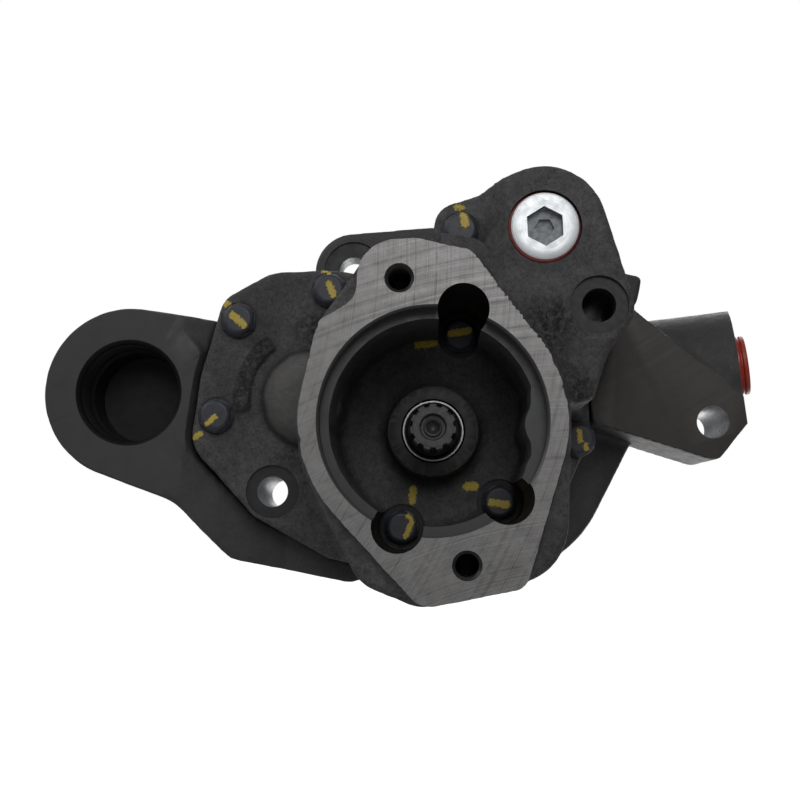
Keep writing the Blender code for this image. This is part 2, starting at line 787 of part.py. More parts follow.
def make_wear_plate(name, front, back, groove_front, groove_back):
    """A figure-of-eight plate with shaft holes and a seal groove in its outer face."""
    radius = CHAMBER_RADIUS - 0.4 * MM
    plate = drum((0, 0), radius, front, back, sides=30, name=name)
    add(plate, drum(IDLER, radius, front, back, sides=30))
    outer, inner = PLATE_SEAL_RADII
    groove = prism(twin_belt(outer + SEAL_ROOM), groove_front, groove_back)
    cut(groove, prism(twin_belt(inner - SEAL_ROOM), groove_front - 1 * MM, groove_back + 1 * MM))
    cut(plate, groove)
    for place in ((0, 0), IDLER):
        cut(plate, drum(place, JOURNAL_RADIUS + 0.5 * MM, front - 1 * MM, back + 1 * MM))
    return plate


def make_loop_seal(name, radii, front, back):
    """A seal that runs round both gear axes, of an outer and an inner radius."""
    outer, inner = radii
    seal = prism(twin_belt(outer), front, back, name)
    cut(seal, prism(twin_belt(inner), front - 1 * MM, back + 1 * MM))
    return seal


def make_plates_and_seals():
    thickness = 3.4 * MM
    groove = 1.4 * MM
    front = JOINT_Y + GAP
    back = CHAMBER_END_Y - GAP - thickness
    rear_face = back + thickness
    front_end = front + thickness
    plates = [
        make_wear_plate("front_wear_plate", front, front_end, front - 1 * MM, front + groove),
        make_wear_plate("rear_wear_plate", back, rear_face, rear_face - groove, rear_face + 1 * MM),
    ]
    sunk = 1.1 * MM
    seals = [
        make_loop_seal("front_plate_seal", PLATE_SEAL_RADII, front - GAP, front + sunk),
        make_loop_seal("rear_plate_seal", PLATE_SEAL_RADII, rear_face - sunk, rear_face + 0.1 * MM),
        make_loop_seal("cover_joint_seal", JOINT_SEAL_RADII, JOINT_Y, JOINT_Y + SEAL_HEIGHT),
    ]
    return plates, seals


def make_shaft_seal(name, radius, front, back):
    """A lip seal: a case with a lip that narrows to the shaft."""
    lip = JOURNAL_RADIUS + 0.2 * MM
    flange = (radius + lip) / 2 + 0.3 * MM
    middle = (front + back) / 2
    profile = [
        (flange, front),
        (radius, front),
        (radius, back),
        (lip + 0.9 * MM, back),
        (lip, middle),
        (flange, front + 1.2 * MM),
    ]
    return turned(name, profile)


def make_circlip():
    """The open spring ring behind the rear shaft seal."""
    front = REAR_HUB_Y - 3 * MM
    back = front + 1.4 * MM
    circlip = bake(ring("rear_seal_circlip", REAR_SEAL_RADIUS, CIRCLIP_INNER_RADIUS, front, back))
    cut(circlip, drum(CIRCLIP_OPENING, CIRCLIP_OPENING_RADIUS, front - 1 * MM, back + 1 * MM, sides=12))
    return circlip


# ---------------------------------------------------------------- fasteners and plugs


def make_screw_mesh(shank_length):
    """A hexagon head screw whose origin is under its head."""
    corner = SCREW_HEAD_FLATS / math.sqrt(3)
    head = drum((0, 0), corner, -SCREW_HEAD_HEIGHT, -1 * MM, sides=6)
    crown = drum((0, 0), corner * 0.82, -SCREW_HEAD_HEIGHT - 0.1 * MM, 0, corner * 1.5, 12)
    combine(head, crown, "INTERSECT")
    add(
        head,
        drum((0, 0), SCREW_HEAD_FLATS / 2 + 0.4 * MM, -1.2 * MM, 0, sides=12),
        drum((0, 0), SCREW_RADIUS, -2 * MM, shank_length, sides=8),
    )
    mesh = head.data
    bpy.data.objects.remove(head)
    return mesh


def make_screws():
    """The eight cover screws. All but the long one share one mesh."""
    seat = PLATE_Y - GAP
    short = make_screw_mesh(SCREW_END_Y - seat)
    lobe_seat = LOBE_SCREW_SEAT_Y - GAP
    places = [(place, seat, short) for place in PLATE_SCREWS + POCKET_SCREWS]
    places.append((LOBE_SCREW, lobe_seat, make_screw_mesh(SCREW_END_Y - lobe_seat)))
    screws = []
    for number, (place, depth, mesh) in enumerate(places, 1):
        screw = link(f"cover_screw_{number}", mesh)
        screw.location = (place[0], depth, place[1])
        screws.append(screw)
    return screws


def make_dowels():
    pins = []
    for number, place in enumerate(DOWELS, 1):
        pin = drum(place, DOWEL_RADIUS, -38 * MM, -18 * MM, sides=12, name=f"dowel_pin_{number}")
        pins.append(pin)
    return pins


def make_outlet_plug():
    """The screw plug with a hexagon socket, flush in its counterbore."""
    front = LOBE_Y - 1 * MM
    under = LOBE_Y + 2.2 * MM
    profile = [
        (0, front),
        (PLUG_FLANGE_RADIUS - 0.6 * MM, front),
        (PLUG_FLANGE_RADIUS, front + 0.6 * MM),
        (PLUG_FLANGE_RADIUS, under),
        (PLUG_THREAD_RADIUS, under),
        (PLUG_THREAD_RADIUS, LOBE_Y + 15 * MM),
        (0, LOBE_Y + 15 * MM),
    ]
    plug = turned("outlet_plug", profile, closed=False)
    plug.location = (OUTLET_PLUG[0], 0, OUTLET_PLUG[1])
    plug = bake(plug)
    cut(plug, drum(OUTLET_PLUG, PLUG_SOCKET_CORNER, front - 1 * MM, front + 8 * MM, sides=6))
    return plug


def make_pressure_cap():
    """The push-in transport cap, made along its own axis and then tilted."""
    lip = CAP_RADIUS + 0.5 * MM
    plug = PRESSURE_BORE_RADIUS - 0.4 * MM
    profile = [
        (0, -CAP_HEIGHT),
        (CAP_RADIUS, -CAP_HEIGHT),
        (CAP_RADIUS, -2.8 * MM),
        (CAP_RADIUS - 0.8 * MM, -2.4 * MM),
        (CAP_RADIUS - 0.8 * MM, -2 * MM),
        (lip, -1.6 * MM),
        (lip, -GAP),
        (plug, -GAP),
        (plug - 0.6 * MM, 12 * MM),
        (0, 12 * MM),
    ]
    cap = bake(turned("pressure_port_cap", profile, 32, closed=False))
    cap.location = PRESSURE_FACE
    cap.rotation_euler = PRESSURE_OUTWARDS.to_track_quat("-Y", "Z").to_euler()
    return cap


# ---------------------------------------------------------------- assembly


def main():
    clear_scene()
    parts = start_collection()
    paint = make_materials()
    root = bpy.data.objects.new("gear_pump_root", None)
    parts.objects.link(root)
    plates, seals = make_plates_and_seals()
    front_seal = make_shaft_seal(
        "front_shaft_seal", FRONT_SEAL_RADIUS, BOSS_Y + GAP, BOSS_Y + 9 * MM
    )
    rear_seal = make_shaft_seal(
        "rear_shaft_seal", REAR_SEAL_RADIUS, REAR_BORE_END_Y + GAP, REAR_HUB_Y - 3.5 * MM
    )
    outer, inner = OUTLET_SEAL_RADII
    outlet_seal = ring("outlet_bore_seal", outer, inner, JOINT_Y, JOINT_Y + SEAL_HEIGHT, OUTLET_PLUG)
    outer, inner = PLUG_RING_RADII
    ring_front, ring_back = LOBE_Y - 0.6 * MM, LOBE_Y + 2 * MM
    plug_ring = ring("outlet_plug_o_ring", outer, inner, ring_front, ring_back, OUTLET_PLUG)
    seals.append(outlet_seal)
    pieces = [
        (paint["cover"], [make_front_cover()]),
        (paint["body"], [make_pump_body()]),
        (paint["steel"], [make_drive_shaft(), make_idler_shaft(), *make_dowels()]),
        (paint["bronze"], [*make_bushes(), *plates]),
        (paint["rubber"], seals),
        (paint["seal_case"], [front_seal, rear_seal, make_circlip()]),
        (paint["screw"], make_screws()),
        (paint["zinc"], [make_outlet_plug()]),
        (paint["red_ring"], [plug_ring]),
        (paint["red_plastic"], [make_pressure_cap()]),
    ]
    for material, group in pieces:
        for piece in group:
            finish(piece, parts, root, material)


main()
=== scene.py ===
"""The looks of a hydraulic gear pump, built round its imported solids.

Frame: metres, origin on the drive shaft's axis in the plane of the rear mounting face, +X to
the right seen from the front, +Z up, +Y towards the rear. Tables are in millimetres.
"""

import math

import bmesh
import bpy
import numpy as np
from mathutils import Matrix, Vector


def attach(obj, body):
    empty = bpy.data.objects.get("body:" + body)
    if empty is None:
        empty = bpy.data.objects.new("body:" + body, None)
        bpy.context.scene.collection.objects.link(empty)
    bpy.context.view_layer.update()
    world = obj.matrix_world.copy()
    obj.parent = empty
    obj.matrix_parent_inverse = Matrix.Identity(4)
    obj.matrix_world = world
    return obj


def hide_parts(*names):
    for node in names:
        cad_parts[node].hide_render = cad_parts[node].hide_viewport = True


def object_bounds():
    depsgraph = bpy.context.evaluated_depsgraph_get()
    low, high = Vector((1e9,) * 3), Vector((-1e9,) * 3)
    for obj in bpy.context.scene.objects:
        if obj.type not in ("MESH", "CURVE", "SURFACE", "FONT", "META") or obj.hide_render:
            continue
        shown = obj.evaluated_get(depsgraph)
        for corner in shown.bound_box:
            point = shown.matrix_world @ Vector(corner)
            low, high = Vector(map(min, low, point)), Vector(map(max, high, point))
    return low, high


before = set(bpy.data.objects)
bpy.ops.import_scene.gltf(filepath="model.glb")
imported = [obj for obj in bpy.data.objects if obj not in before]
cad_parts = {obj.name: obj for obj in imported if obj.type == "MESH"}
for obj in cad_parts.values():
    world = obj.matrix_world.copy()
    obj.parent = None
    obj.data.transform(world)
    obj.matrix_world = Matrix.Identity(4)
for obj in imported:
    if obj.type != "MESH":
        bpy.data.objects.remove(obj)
cad_low, cad_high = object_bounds()

MM = 0.001
TURN = 2 * math.pi
ARC_STEP = math.radians(4)

# Depths along Y, from the front to the rear.
PAD_Y = -115.0
SHOULDER_Y = -107.0
LOBE_Y = -103.5
LOBE_SEAT_Y = -90.0
SHAFT_END_Y = -84.0
BOSS_Y = -63.0
PLATE_Y = -48.0
SUCTION_Y = -43.0
JOINT_Y = -28.0
EAR_Y = -15.0
SEAT_Y = 0.0
CHAMBER_END_Y = -5.2
REAR_BORE_Y = 16.0
REAR_HUB_Y = 26.0
IDLER_HUB_Y = 16.0
SHAFT_REAR_Y = 52.0
PASSAGE_Y = -16.0
HALF_JOINT = 0.15

# Places in X and Z.
AXIS = (0.0, 0.0)
IDLER = (-50.5, 14.5)
LOBE_SCREW = (10.8, 74.5)
PLATE_SCREWS = [(-80.6, 47.3), (-89.5, 7.5), (-42.9, 59.8), (59.3, -2.7)]
POCKET_SCREWS = [(11.2, 40.4), (26.8, -28.0), (-12.8, -38.2)]
DOWELS = [(-90, 27), (42, -20)]
LOWER_HOLE = (-66.1, -23.7)
LOBE_HOLE = (61.7, 43.7)
ARM_HOLE = (114.6, 4.6)
EAR_HOLE = (-35.2, 75.0)
OUTLET = (41.9, 73.2)
PLUG_RING = (41.65, 72.75)
SUCTION = (-127.8, 18.0)
PRESSURE_FACE = Vector((129.5, -25, 30.3))
PRESSURE_OUTWARDS = Vector((0.979, -0.169, 0.114)).normalized()
PAD_BOLT_TILT = math.radians(13.1)
PAD_BOLT_REACH = 53.2

# Columns of X and Z in an array of points.
SIDEWAYS = [0, 2]

# Radii of the bores and rings that both castings share.
SCREW_BORE = 4.3
DOWEL_BORE = 3.2
MOUNT_BORE = 6.2
BUSH_BORE = 14.3
SHAFT_BORE = 10.7
OUTLET_BORE = 8.0
PILOT_RADIUS = 41.3
SUCTION_BORE = 20.6
PRESSURE_BOSS = 24.2
PLUG_FLANGE = 12.8
PLUG_SHANK = 9.6

# Gears and splines.
TEETH = 12
TIP_RADIUS = 30.1
ROOT_RADIUS = 21.2
PRESSURE_ANGLE = math.radians(25)
BACKLASH = 0.5
GEAR_FRONT_Y = -24.0
GEAR_BACK_Y = -9.2
CHAMBER_RADIUS = 30.6
BUSH_LENGTH = 16.0
JOURNAL_RADIUS = 10.0
SPLINE_TEETH = 11
SPLINE_TIP = 9.4
SPLINE_ROOT = 8.2

# Outlines as belts round circles (X, Z, radius). A negative radius is a circle that the belt
# passes on its outer side.
LOBE_BELT = [
    (57, 11, 3), (79, 18.5, -15.5), (61.7, 43.7, 13.5), (41.9, 73.5, 23.7),
    (12, 99.8, -12), (10.8, 75.8, 10.6), (8, 44, 2), (44, 6, 2),
]
PLATE_BELT = [
    (52, 1, 13), (79, 18.5, -15.5), (61.7, 43.7, 13.5), (41.9, 73.5, 23.7),
    (12, 99.8, -12), (10.8, 75.8, 10.6), (-27, 79, -12), (-42.9, 59.8, 9.3),
    (-62, 47.5, 21), (-77.5, 48.5, 12.3), (-80, 20, 17.5), (-86, 0, 14.2),
    (-66.1, -23.7, 13), (-38, -37, 15), (8, -40, 22), (30, -30, 20),
]
PAD_BELT = [
    (0, 0, 49), (12, 58, 4.5), (-6, 62, 4.8), (-13, 51.5, 15), (-36, 49, -8),
    (-38.5, 33.5, 4), (0, 0, 49), (-1, -56.5, 10), (28, -54.5, 6.5),
]
BELL_BELT = [
    (0, 0, 50.5), (12, 58, 5), (-13, 51.5, 15.5), (-38.5, 33.5, 5),
    (0, 0, 50.5), (-16, -47, 15), (-4, -54, 13), (27, -37, 22),
]
LUG_STEP_BELT = [(10.8, 75.6, 9.8), (8, 104, 9.8), (-16, 104, 10), (-16, 68, 10)]
PASSAGE_BELT = [
    (-83.6, 27.9, 19.7), (-127.8, 18, 36.2), (-121.3, -48.2, -23.5), (-79.5, -41.4, 11.3),
    (-36, -48.5, 13), (-20, -20, 10), (-50, 10, 20),
]
# The neck's front falls from the suction face towards the cover, as X and Y.
NECK_SLOPE = [(-108, -44), (-107, -50), (-10, -50), (-10, -30.4), (-62, -30)]
EAR_BELT = [
    (90.4, 70.4, 2), (0, 75, 20), (-35.2, 75, 17.2), (-40, 40, 8), (60, 20, 8), (88.6, 62, 2),
]
FOOT_BELT = [(80, 0, 6), (20, 10, 6), (-20, -40, 10), (34, -57.5, 7.6), (25, -8, 51.2)]
ARM_BELT = [(124, 12, 5), (80, 48, 5), (50, 44, 4), (48, 14, 4), (114.5, -6, 5), (125, 7, 5)]

# Paint daubs across each screw head and on the casting beside it: two ends and a width.
DAUBS = [
    ((-82.6, 48.8), (-78.0, 44.8), 3.0), ((-86.0, 54.8), (-85.2, 53.6), 3.0),
    ((-42.8, 61.8), (-41.0, 57.2), 2.8), ((-45.6, 68.3), (-43.2, 66.9), 2.0),
    ((-92.8, 3.8), (-89.2, 6.8), 2.0), ((-98.6, -1.3), (-96.0, 0.4), 2.2),
    ((11.9, 80.2), (12.2, 76.2), 3.2), ((9.3, 84.2), (11.3, 84.1), 2.4),
    ((7.4, 40.7), (14.6, 42.0), 2.8), ((-6.2, 36.6), (0.7, 37.4), 2.8),
    ((23.4, -28.3), (29.6, -29.2), 3.2), ((13.8, -21.6), (16.8, -21.7), 3.6),
    ((-10.2, -33.6), (-8.6, -36.1), 2.2), ((-8.6, -36.1), (-11.4, -42.0), 2.2),
    ((-8.3, -22.6), (-8.5, -27.6), 3.0), ((59.1, 0.4), (59.8, -3.2), 2.2),
    ((61.8, -5.3), (62.0, -6.5), 2.2),
]
# A point that no daub is near has this distance, in millimetres.
FAR_FROM_DAUBS = 9.0

# The stage, in metres: the camera, the floor's depth below the pump, the heights between which
# the sky's light rises and its least and most light, and each lamp's place, size and watts.
CAMERA_PLACE = (0.000646, -0.56215, -0.03778)
CAMERA_FORWARD = Vector((-0.02766, 0.99459, 0.10013))
CAMERA_LENS = 56.34
FLOOR_DROP = 0.22
SKY_RANGE = (-0.15, 0.55, 0.035, 0.34)
LAMPS = [
    ("key", (0.1, -1.25, 0.55), 0.7, 3.9),
    ("left", (-1.1, -0.5, 0.8), 0.8, 3.8),
    ("rear", (0.3, 1.1, 0.9), 1.0, 6.0),
    ("under", (0.2, 0.35, -0.27), 0.5, 1.2),
]


# ---------------------------------------------------------------- noise


def cell_value(cell, seed):
    """A fixed pseudo-random number from 0 to 1 for each whole-numbered cell."""
    x, y, z = (cell[:, axis].astype(np.uint32) for axis in range(3))
    mixed = x * np.uint32(374761393) + y * np.uint32(668265263) + z * np.uint32(2246822519)
    mixed = mixed + np.uint32((seed * 40503 + 977) % 65536)
    mixed = (mixed ^ (mixed >> np.uint32(13))) * np.uint32(1274126177)
    return ((mixed ^ (mixed >> np.uint32(16))) & np.uint32(0xFFFF)) / 65535.0


def noise(points, size, octaves=1, seed=0):
    """Smooth noise from -1 to 1 with features of one size, in the points' unit."""
    total = np.zeros(len(points))
    weight, reach = 1.0, 0.0
    for octave in range(octaves):
        place = points / (size * 0.5**octave) + 4000.37
        cell = np.floor(place).astype(np.int64)
        blend = place - cell
        blend = blend * blend * (3 - 2 * blend)
        value = np.zeros(len(points))
        for corner in np.ndindex(2, 2, 2):
            share = np.where(np.array(corner), blend, 1 - blend).prod(axis=1)
            value += share * cell_value(cell + np.array(corner), seed + octave)
        total += weight * (2 * value - 1)
        reach += weight
        weight *= 0.55
    return total / reach


def distance(points, place=(0, 0)):
    """Each point's distance from a place in X and Z."""
    return np.hypot(points[:, 0] - place[0], points[:, 2] - place[1])


def near(points, place, radius):
    """From 1 at a place to 0 at a radius from it, in X and Z."""
    return np.clip(1 - distance(points, place) / radius, 0, 1)


# ---------------------------------------------------------------- meshes


def link(name, mesh):
    obj = bpy.data.objects.new(name, mesh)
    bpy.context.scene.collection.objects.link(obj)
    return obj


def from_shape(name, shape):
    """A mesh object, in metres, from a bmesh in millimetres."""
    bmesh.ops.recalc_face_normals(shape, faces=shape.faces)
    bmesh.ops.scale(shape, verts=shape.verts, vec=(MM, MM, MM))
    mesh = bpy.data.meshes.new(name)
    shape.to_mesh(mesh)
    shape.free()
    return link(name, mesh)


def apply_modifiers(obj):
    """The object's mesh with its modifiers applied. The object itself then has none."""
    bpy.context.view_layer.update()
    graph = bpy.context.evaluated_depsgraph_get()
    mesh = bpy.data.meshes.new_from_object(obj.evaluated_get(graph))
    obj.modifiers.clear()
    return mesh


def vectors_of(mesh, kind):
    flat = np.empty(len(mesh.vertices) * 3)
    mesh.vertices.foreach_get(kind, flat)
    return flat.reshape(-1, 3)


def points_of(mesh):
    """The mesh's points in millimetres."""
    return vectors_of(mesh, "co") / MM


def tangent_angle(start, end):
    """The heading of the belt's straight run from one circle to the next."""
    run = Vector((end[0] - start[0], end[1] - start[1]))
    return math.atan2(run.y, run.x) - math.asin((end[2] - start[2]) / run.length)


def belt_arcs(circles):
    """Each circle of a belt with the heading where the belt meets it and the turn it makes."""
    arcs = []
    for index, circle in enumerate(circles):
        heading = tangent_angle(circles[index - 1], circle)
        leaving = tangent_angle(circle, circles[(index + 1) % len(circles)])
        sweep = (leaving - heading) % TURN if circle[2] > 0 else -((heading - leaving) % TURN)
        arcs.append((circle, heading, sweep))
    return arcs


def belt(stops, grow=0.0):
    """A belt's outline, with the same count of points for any growth."""
    least = 0.3
    grown = []
    for x, z, radius in stops:
        kept = max(radius + grow, least) if radius > 0 else min(radius + grow, -least)
        grown.append((x, z, kept))
    outline = []
    for (circle, heading, sweep), (_, _, full) in zip(belt_arcs(grown), belt_arcs(stops)):
        x, z, radius = circle
        steps = max(1, round(abs(full) / ARC_STEP))
        for step in range(steps + 1):
            angle = heading + sweep * step / steps
            outline.append((x + math.sin(angle) * radius, z - math.cos(angle) * radius))
    return outline


def twin_belt(radius):
    return [(0, 0, radius), (*IDLER, radius)]


def skin(rings, name="skin"):
    """A closed body over equal rings of (x, y, z) points."""
    shape = bmesh.new()
    rows = [[shape.verts.new(point) for point in ring] for ring in rings]
    count = len(rows[0])
    for front, back in zip(rows, rows[1:]):
        for here in range(count):
            after = (here + 1) % count
            shape.faces.new((front[here], front[after], back[after], back[here]))
    shape.faces.new(rows[0])
    shape.faces.new(rows[-1])
    return from_shape(name, shape)


def loft(stops, sections):
    """A belt outline at each (depth, growth), closed at both ends."""
    rings = [[(x, depth, z) for x, z in belt(stops, grow)] for depth, grow in sections]
    return skin(rings)


def prism(outline, front, back):
    return skin([[(x, depth, z) for x, z in outline] for depth in (front, back)])


def spin(profile, place=AXIS, sides=64, ring=False, name="spin"):
    """A turned body along Y. A profile of (radius, depth) starts and ends on the axis."""
    shape = bmesh.new()
    rows = []
    for radius, depth in profile:
        if radius == 0:
            rows.append([shape.verts.new((place[0], depth, place[1]))])
            continue
        row = []
        for side in range(sides):
            angle = TURN * side / sides
            x = place[0] + radius * math.cos(angle)
            row.append(shape.verts.new((x, depth, place[1] + radius * math.sin(angle))))
        rows.append(row)
    pairs = list(zip(rows, rows[1:] + rows[:1])) if ring else list(zip(rows, rows[1:]))
    for first, second in pairs:
        for side in range(sides):
            after = (side + 1) % sides
            corners = [first[side % len(first)], first[after % len(first)]]
            corners += [second[after % len(second)], second[side % len(second)]]
            corners = list(dict.fromkeys(corners))
            shape.faces.new(corners)
    return from_shape(name, shape)


def drum(place, radius, front, back, sides=64):
    return spin([(0, front), (radius, front), (radius, back), (0, back)], place, sides)


def rod(start, end, radius, end_radius=None):
    """A cylinder or cone frustum between two points."""
    start, end = Vector(start), Vector(end)
    run = end - start
    shape = bmesh.new()
    bmesh.ops.create_cone(
        shape,
        cap_ends=True,
        segments=48,
        radius1=radius,
        radius2=radius if end_radius is None else end_radius,
        depth=run.length,
    )
    turn = run.to_track_quat("Z", "Y").to_matrix().to_4x4()
    shape.transform(Matrix.Translation((start + end) / 2) @ turn)
    return from_shape("rod", shape)


def combine(target, tool, operation, finish=None):
    """Applies a Boolean and removes the tool. New faces take the tool's finish."""
    if finish:
        tool.data.materials.append(finish)
    before = len(target.data.vertices)
    for solver in ("MANIFOLD", "EXACT"):
        modifier = target.modifiers.new("combine", "BOOLEAN")
        modifier.object = tool
        modifier.operation = operation
        modifier.solver = solver
        modifier.material_mode = "TRANSFER"
        mesh = apply_modifiers(target)
        if len(mesh.vertices) != before:
            break
    target.data = mesh
    bpy.data.objects.remove(tool)
    return target


def add(target, *tools):
    for tool in tools:
        combine(target, tool, "UNION")
    return target


def cut(target, finish, *tools):
    for tool in tools:
        combine(target, tool, "DIFFERENCE", finish)
    return target


def shade(obj, angle=38):
    obj.data.shade_smooth()
    obj.data.set_sharp_from_angle(angle=math.radians(angle))
    return obj


def place_piece(obj, body, slot, *nodes):
    """Hands a finished piece to the frame."""
    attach(obj, body)
    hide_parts(*nodes)


# ---------------------------------------------------------------- materials


class Finish:
    """A node material that is built one node at a time."""

    def __init__(self, name, roughness=0.5, metallic=0.0, specular=0.5):
        self.material = bpy.data.materials.new(name)
        self.material.use_nodes = True
        self.tree = self.material.node_tree
        self.shader = self.tree.nodes["Principled BSDF"]
        self.shader.inputs["Roughness"].default_value = roughness
        self.shader.inputs["Metallic"].default_value = metallic
        self.shader.inputs["Specular IOR Level"].default_value = specular
        self.place = self.add("TexCoord").outputs["Object"]
        self.normal = None

    def add(self, kind, inputs=None, **settings):
        node = self.tree.nodes.new("ShaderNode" + kind)
        for key, value in settings.items():
            setattr(node, key, value)
        for socket, value in (inputs or {}).items():
            if isinstance(value, bpy.types.NodeSocket):
                self.tree.links.new(value, node.inputs[socket])
            else:
                node.inputs[socket].default_value = value
        return node

    def noise(self, size, detail=2.0, roughness=0.5, distortion=0.0):
        """Noise whose features are about a size in millimetres."""
        inputs = {
            "Vector": self.place,
            "Scale": 1 / (size * MM),
            "Detail": detail,
            "Roughness": roughness,
            "Distortion": distortion,
        }
        return self.add("TexNoise", inputs).outputs["Fac"]

    def lines(self, centre, size, detail=3.0):
        """Uneven circular tool marks round a centre in X and Z, in millimetres."""
        middle = (centre[0] * MM, 0, centre[1] * MM)
        away = self.add("VectorMath", {0: self.place, 1: middle}, operation="SUBTRACT")
        flat = self.add(
            "VectorMath", {0: away.outputs[0], 1: (1, 0, 1)}, operation="MULTIPLY"
        )
        span = self.add("VectorMath", {0: flat.outputs[0]}, operation="LENGTH")
        inputs = {"W": span.outputs["Value"], "Scale": 1 / (size * MM), "Detail": detail}
        return self.add("TexNoise", inputs, noise_dimensions="1D").outputs["Fac"]

    def band(self, value, low, high, first=0.0, last=1.0):
        """Maps a value's range to another one, held at its ends."""
        inputs = {0: value, 1: low, 2: high, 3: first, 4: last}
        return self.add("MapRange", inputs).outputs[0]

    def calc(self, operation, first, second=0.0):
        return self.add("Math", {0: first, 1: second}, operation=operation).outputs[0]

    def mix(self, share, first, second, blend="MIX"):
        node = self.add("Mix", data_type="RGBA", blend_type=blend)
        for socket, value in ((0, share), (6, first), (7, second)):
            if isinstance(value, bpy.types.NodeSocket):
                self.tree.links.new(value, node.inputs[socket])
            elif socket == 0:
                node.inputs[0].default_value = value
            else:
                node.inputs[socket].default_value = (*value, 1)
        return node.outputs[2]

    def bump(self, height, depth):
        inputs = {"Height": height, "Distance": depth * MM, "Strength": 1.0}
        if self.normal:
            inputs["Normal"] = self.normal
        self.normal = self.add("Bump", inputs).outputs["Normal"]

    def attribute(self, name):
        """A share or distance that is kept on the mesh's points."""
        return self.add("Attribute", attribute_name=name).outputs["Fac"]

    def done(self, colour, roughness=None):
        wires = {"Base Color": colour, "Roughness": roughness, "Normal": self.normal}
        for socket, value in wires.items():
            if value is not None:
                self.tree.links.new(value, self.shader.inputs[socket])
        return self.material

    def paint(self):
        """The share of yellow paint, from the distance kept on each point."""
        streaks = self.noise(0.9, 3, 0.6)
        ragged = self.calc("ADD", self.attribute("daub"), self.band(streaks, 0.3, 0.7, -0.6, 0.6))
        return self.band(ragged, -0.25, 0.2, 1.0, 0.0)


YELLOW = (0.62, 0.47, 0.06)
# A lighter grey for worn edges, and for painted highlights on bump crests and lump tops.
WEAR_AND_HIGHLIGHT_GREY = (0.17, 0.165, 0.16)
# Near black, used as painted shade in the cover's valley ring and along the band's edges.
SHADE_BLACK = (0.012, 0.012, 0.012)


def scaled(colour, share):
    return tuple(share * part for part in colour)


def make_cast(name, dark, light, dust, grain, painted, roughness=0.62):
    """Sand-cast iron under a thin dark coat, with worn edges and dusty patches; the edge wear also
    lightens every bump crest of the skin as a painted highlight.
    """
    finish = Finish(name, roughness, 0.0, 0.35)
    broad = finish.noise(26, 4, 0.55, 0.4)
    mottle = finish.noise(3.2, 5, 0.6)
    speck = finish.noise(0.55, 4, 0.7)
    pits = finish.noise(1.3, 5, 0.7)
    colour = finish.mix(finish.band(broad, 0.35, 0.65), dark, light)
    tone = 1.0
    for marks, low, high, darkest, lightest in (
        (mottle, 0.3, 0.7, 0.34, 0.36),
        (speck, 0.32, 0.7, 0.3, 0.4),
        (pits, 0.36, 0.5, 0.42, 0.0),
    ):
        shade_of_marks = finish.band(marks, low, high, 1 - darkest * grain, 1 + lightest * grain)
        tone = finish.calc("MULTIPLY", tone, shade_of_marks)
    grey = finish.add("CombineXYZ", {0: tone, 1: tone, 2: tone}).outputs[0]
    colour = finish.mix(1.0, colour, grey, "MULTIPLY")
    dusty = finish.band(finish.noise(9, 6, 0.65, 0.8), 0.52, 0.75, 0.0, 0.45)
    colour = finish.mix(dusty, colour, dust)
    # Lighter on sharp edges: rubbed edges, and on the displaced skin also a painted highlight on each
    # bump crest.
    edge = finish.add("NewGeometry").outputs["Pointiness"]
    worn = finish.band(edge, 0.53, 0.64, 0.0, 0.75)
    worn = finish.calc("MULTIPLY", worn, finish.band(finish.noise(1.8, 4, 0.6), 0.4, 0.6))
    colour = finish.mix(worn, colour, WEAR_AND_HIGHLIGHT_GREY)
    rough = finish.band(mottle, 0.3, 0.7, roughness - 0.1, roughness + 0.12)
    if painted:
        colour, rough = paint_and_scar(finish, colour, rough)
    finish.bump(pits, 0.3 * grain)
    finish.bump(finish.noise(3.0, 4, 0.6), 0.5 * grain)
    return finish.done(colour, rough)


def paint_and_scar(finish, colour, rough):
    """The cover's marks: paint daubs, lumps and pits darkened in their low parts as painted shade and
    lightened on their tops as painted highlight, painted shade in the dome's valley ring and along the
    band's edges, and a painted sheen that lightens the dome.
    """
    share = finish.paint()
    streak = finish.band(finish.noise(0.7, 3, 0.6), 0.3, 0.7)
    colour = finish.mix(share, colour, finish.mix(streak, (0.36, 0.27, 0.04), YELLOW))
    rough = finish.calc("SUBTRACT", rough, finish.calc("MULTIPLY", share, 0.15))
    harsh = finish.attribute("harsh")
    lumps = finish.noise(2.0, 5, 0.7, 0.5)
    finish.bump(finish.calc("MULTIPLY", lumps, harsh), 3.0)
    # Painted shade: near black in the low parts of the lumps' bump.
    painted_pit_shade = finish.calc("MULTIPLY", finish.band(lumps, 0.4, 0.52, 1.0, 0.0), harsh)
    # Painted highlight: lighter on the high parts of the lumps' bump.
    painted_lump_highlight = finish.calc("MULTIPLY", finish.band(lumps, 0.53, 0.66, 0.0, 0.7), harsh)
    colour = finish.mix(painted_pit_shade, colour, (0.014, 0.014, 0.014))
    colour = finish.mix(painted_lump_highlight, colour, WEAR_AND_HIGHLIGHT_GREY)
    # Painted shade: near black in the valley ring round the dome and along the raised band's edges.
    colour = finish.mix(finish.attribute("painted_shade"), colour, SHADE_BLACK)
    # Painted sheen: the smooth dome is made lighter in colour, in place of the light it catches.
    colour = finish.mix(finish.attribute("painted_sheen"), colour, (0.115, 0.11, 0.106))
    return colour, rough


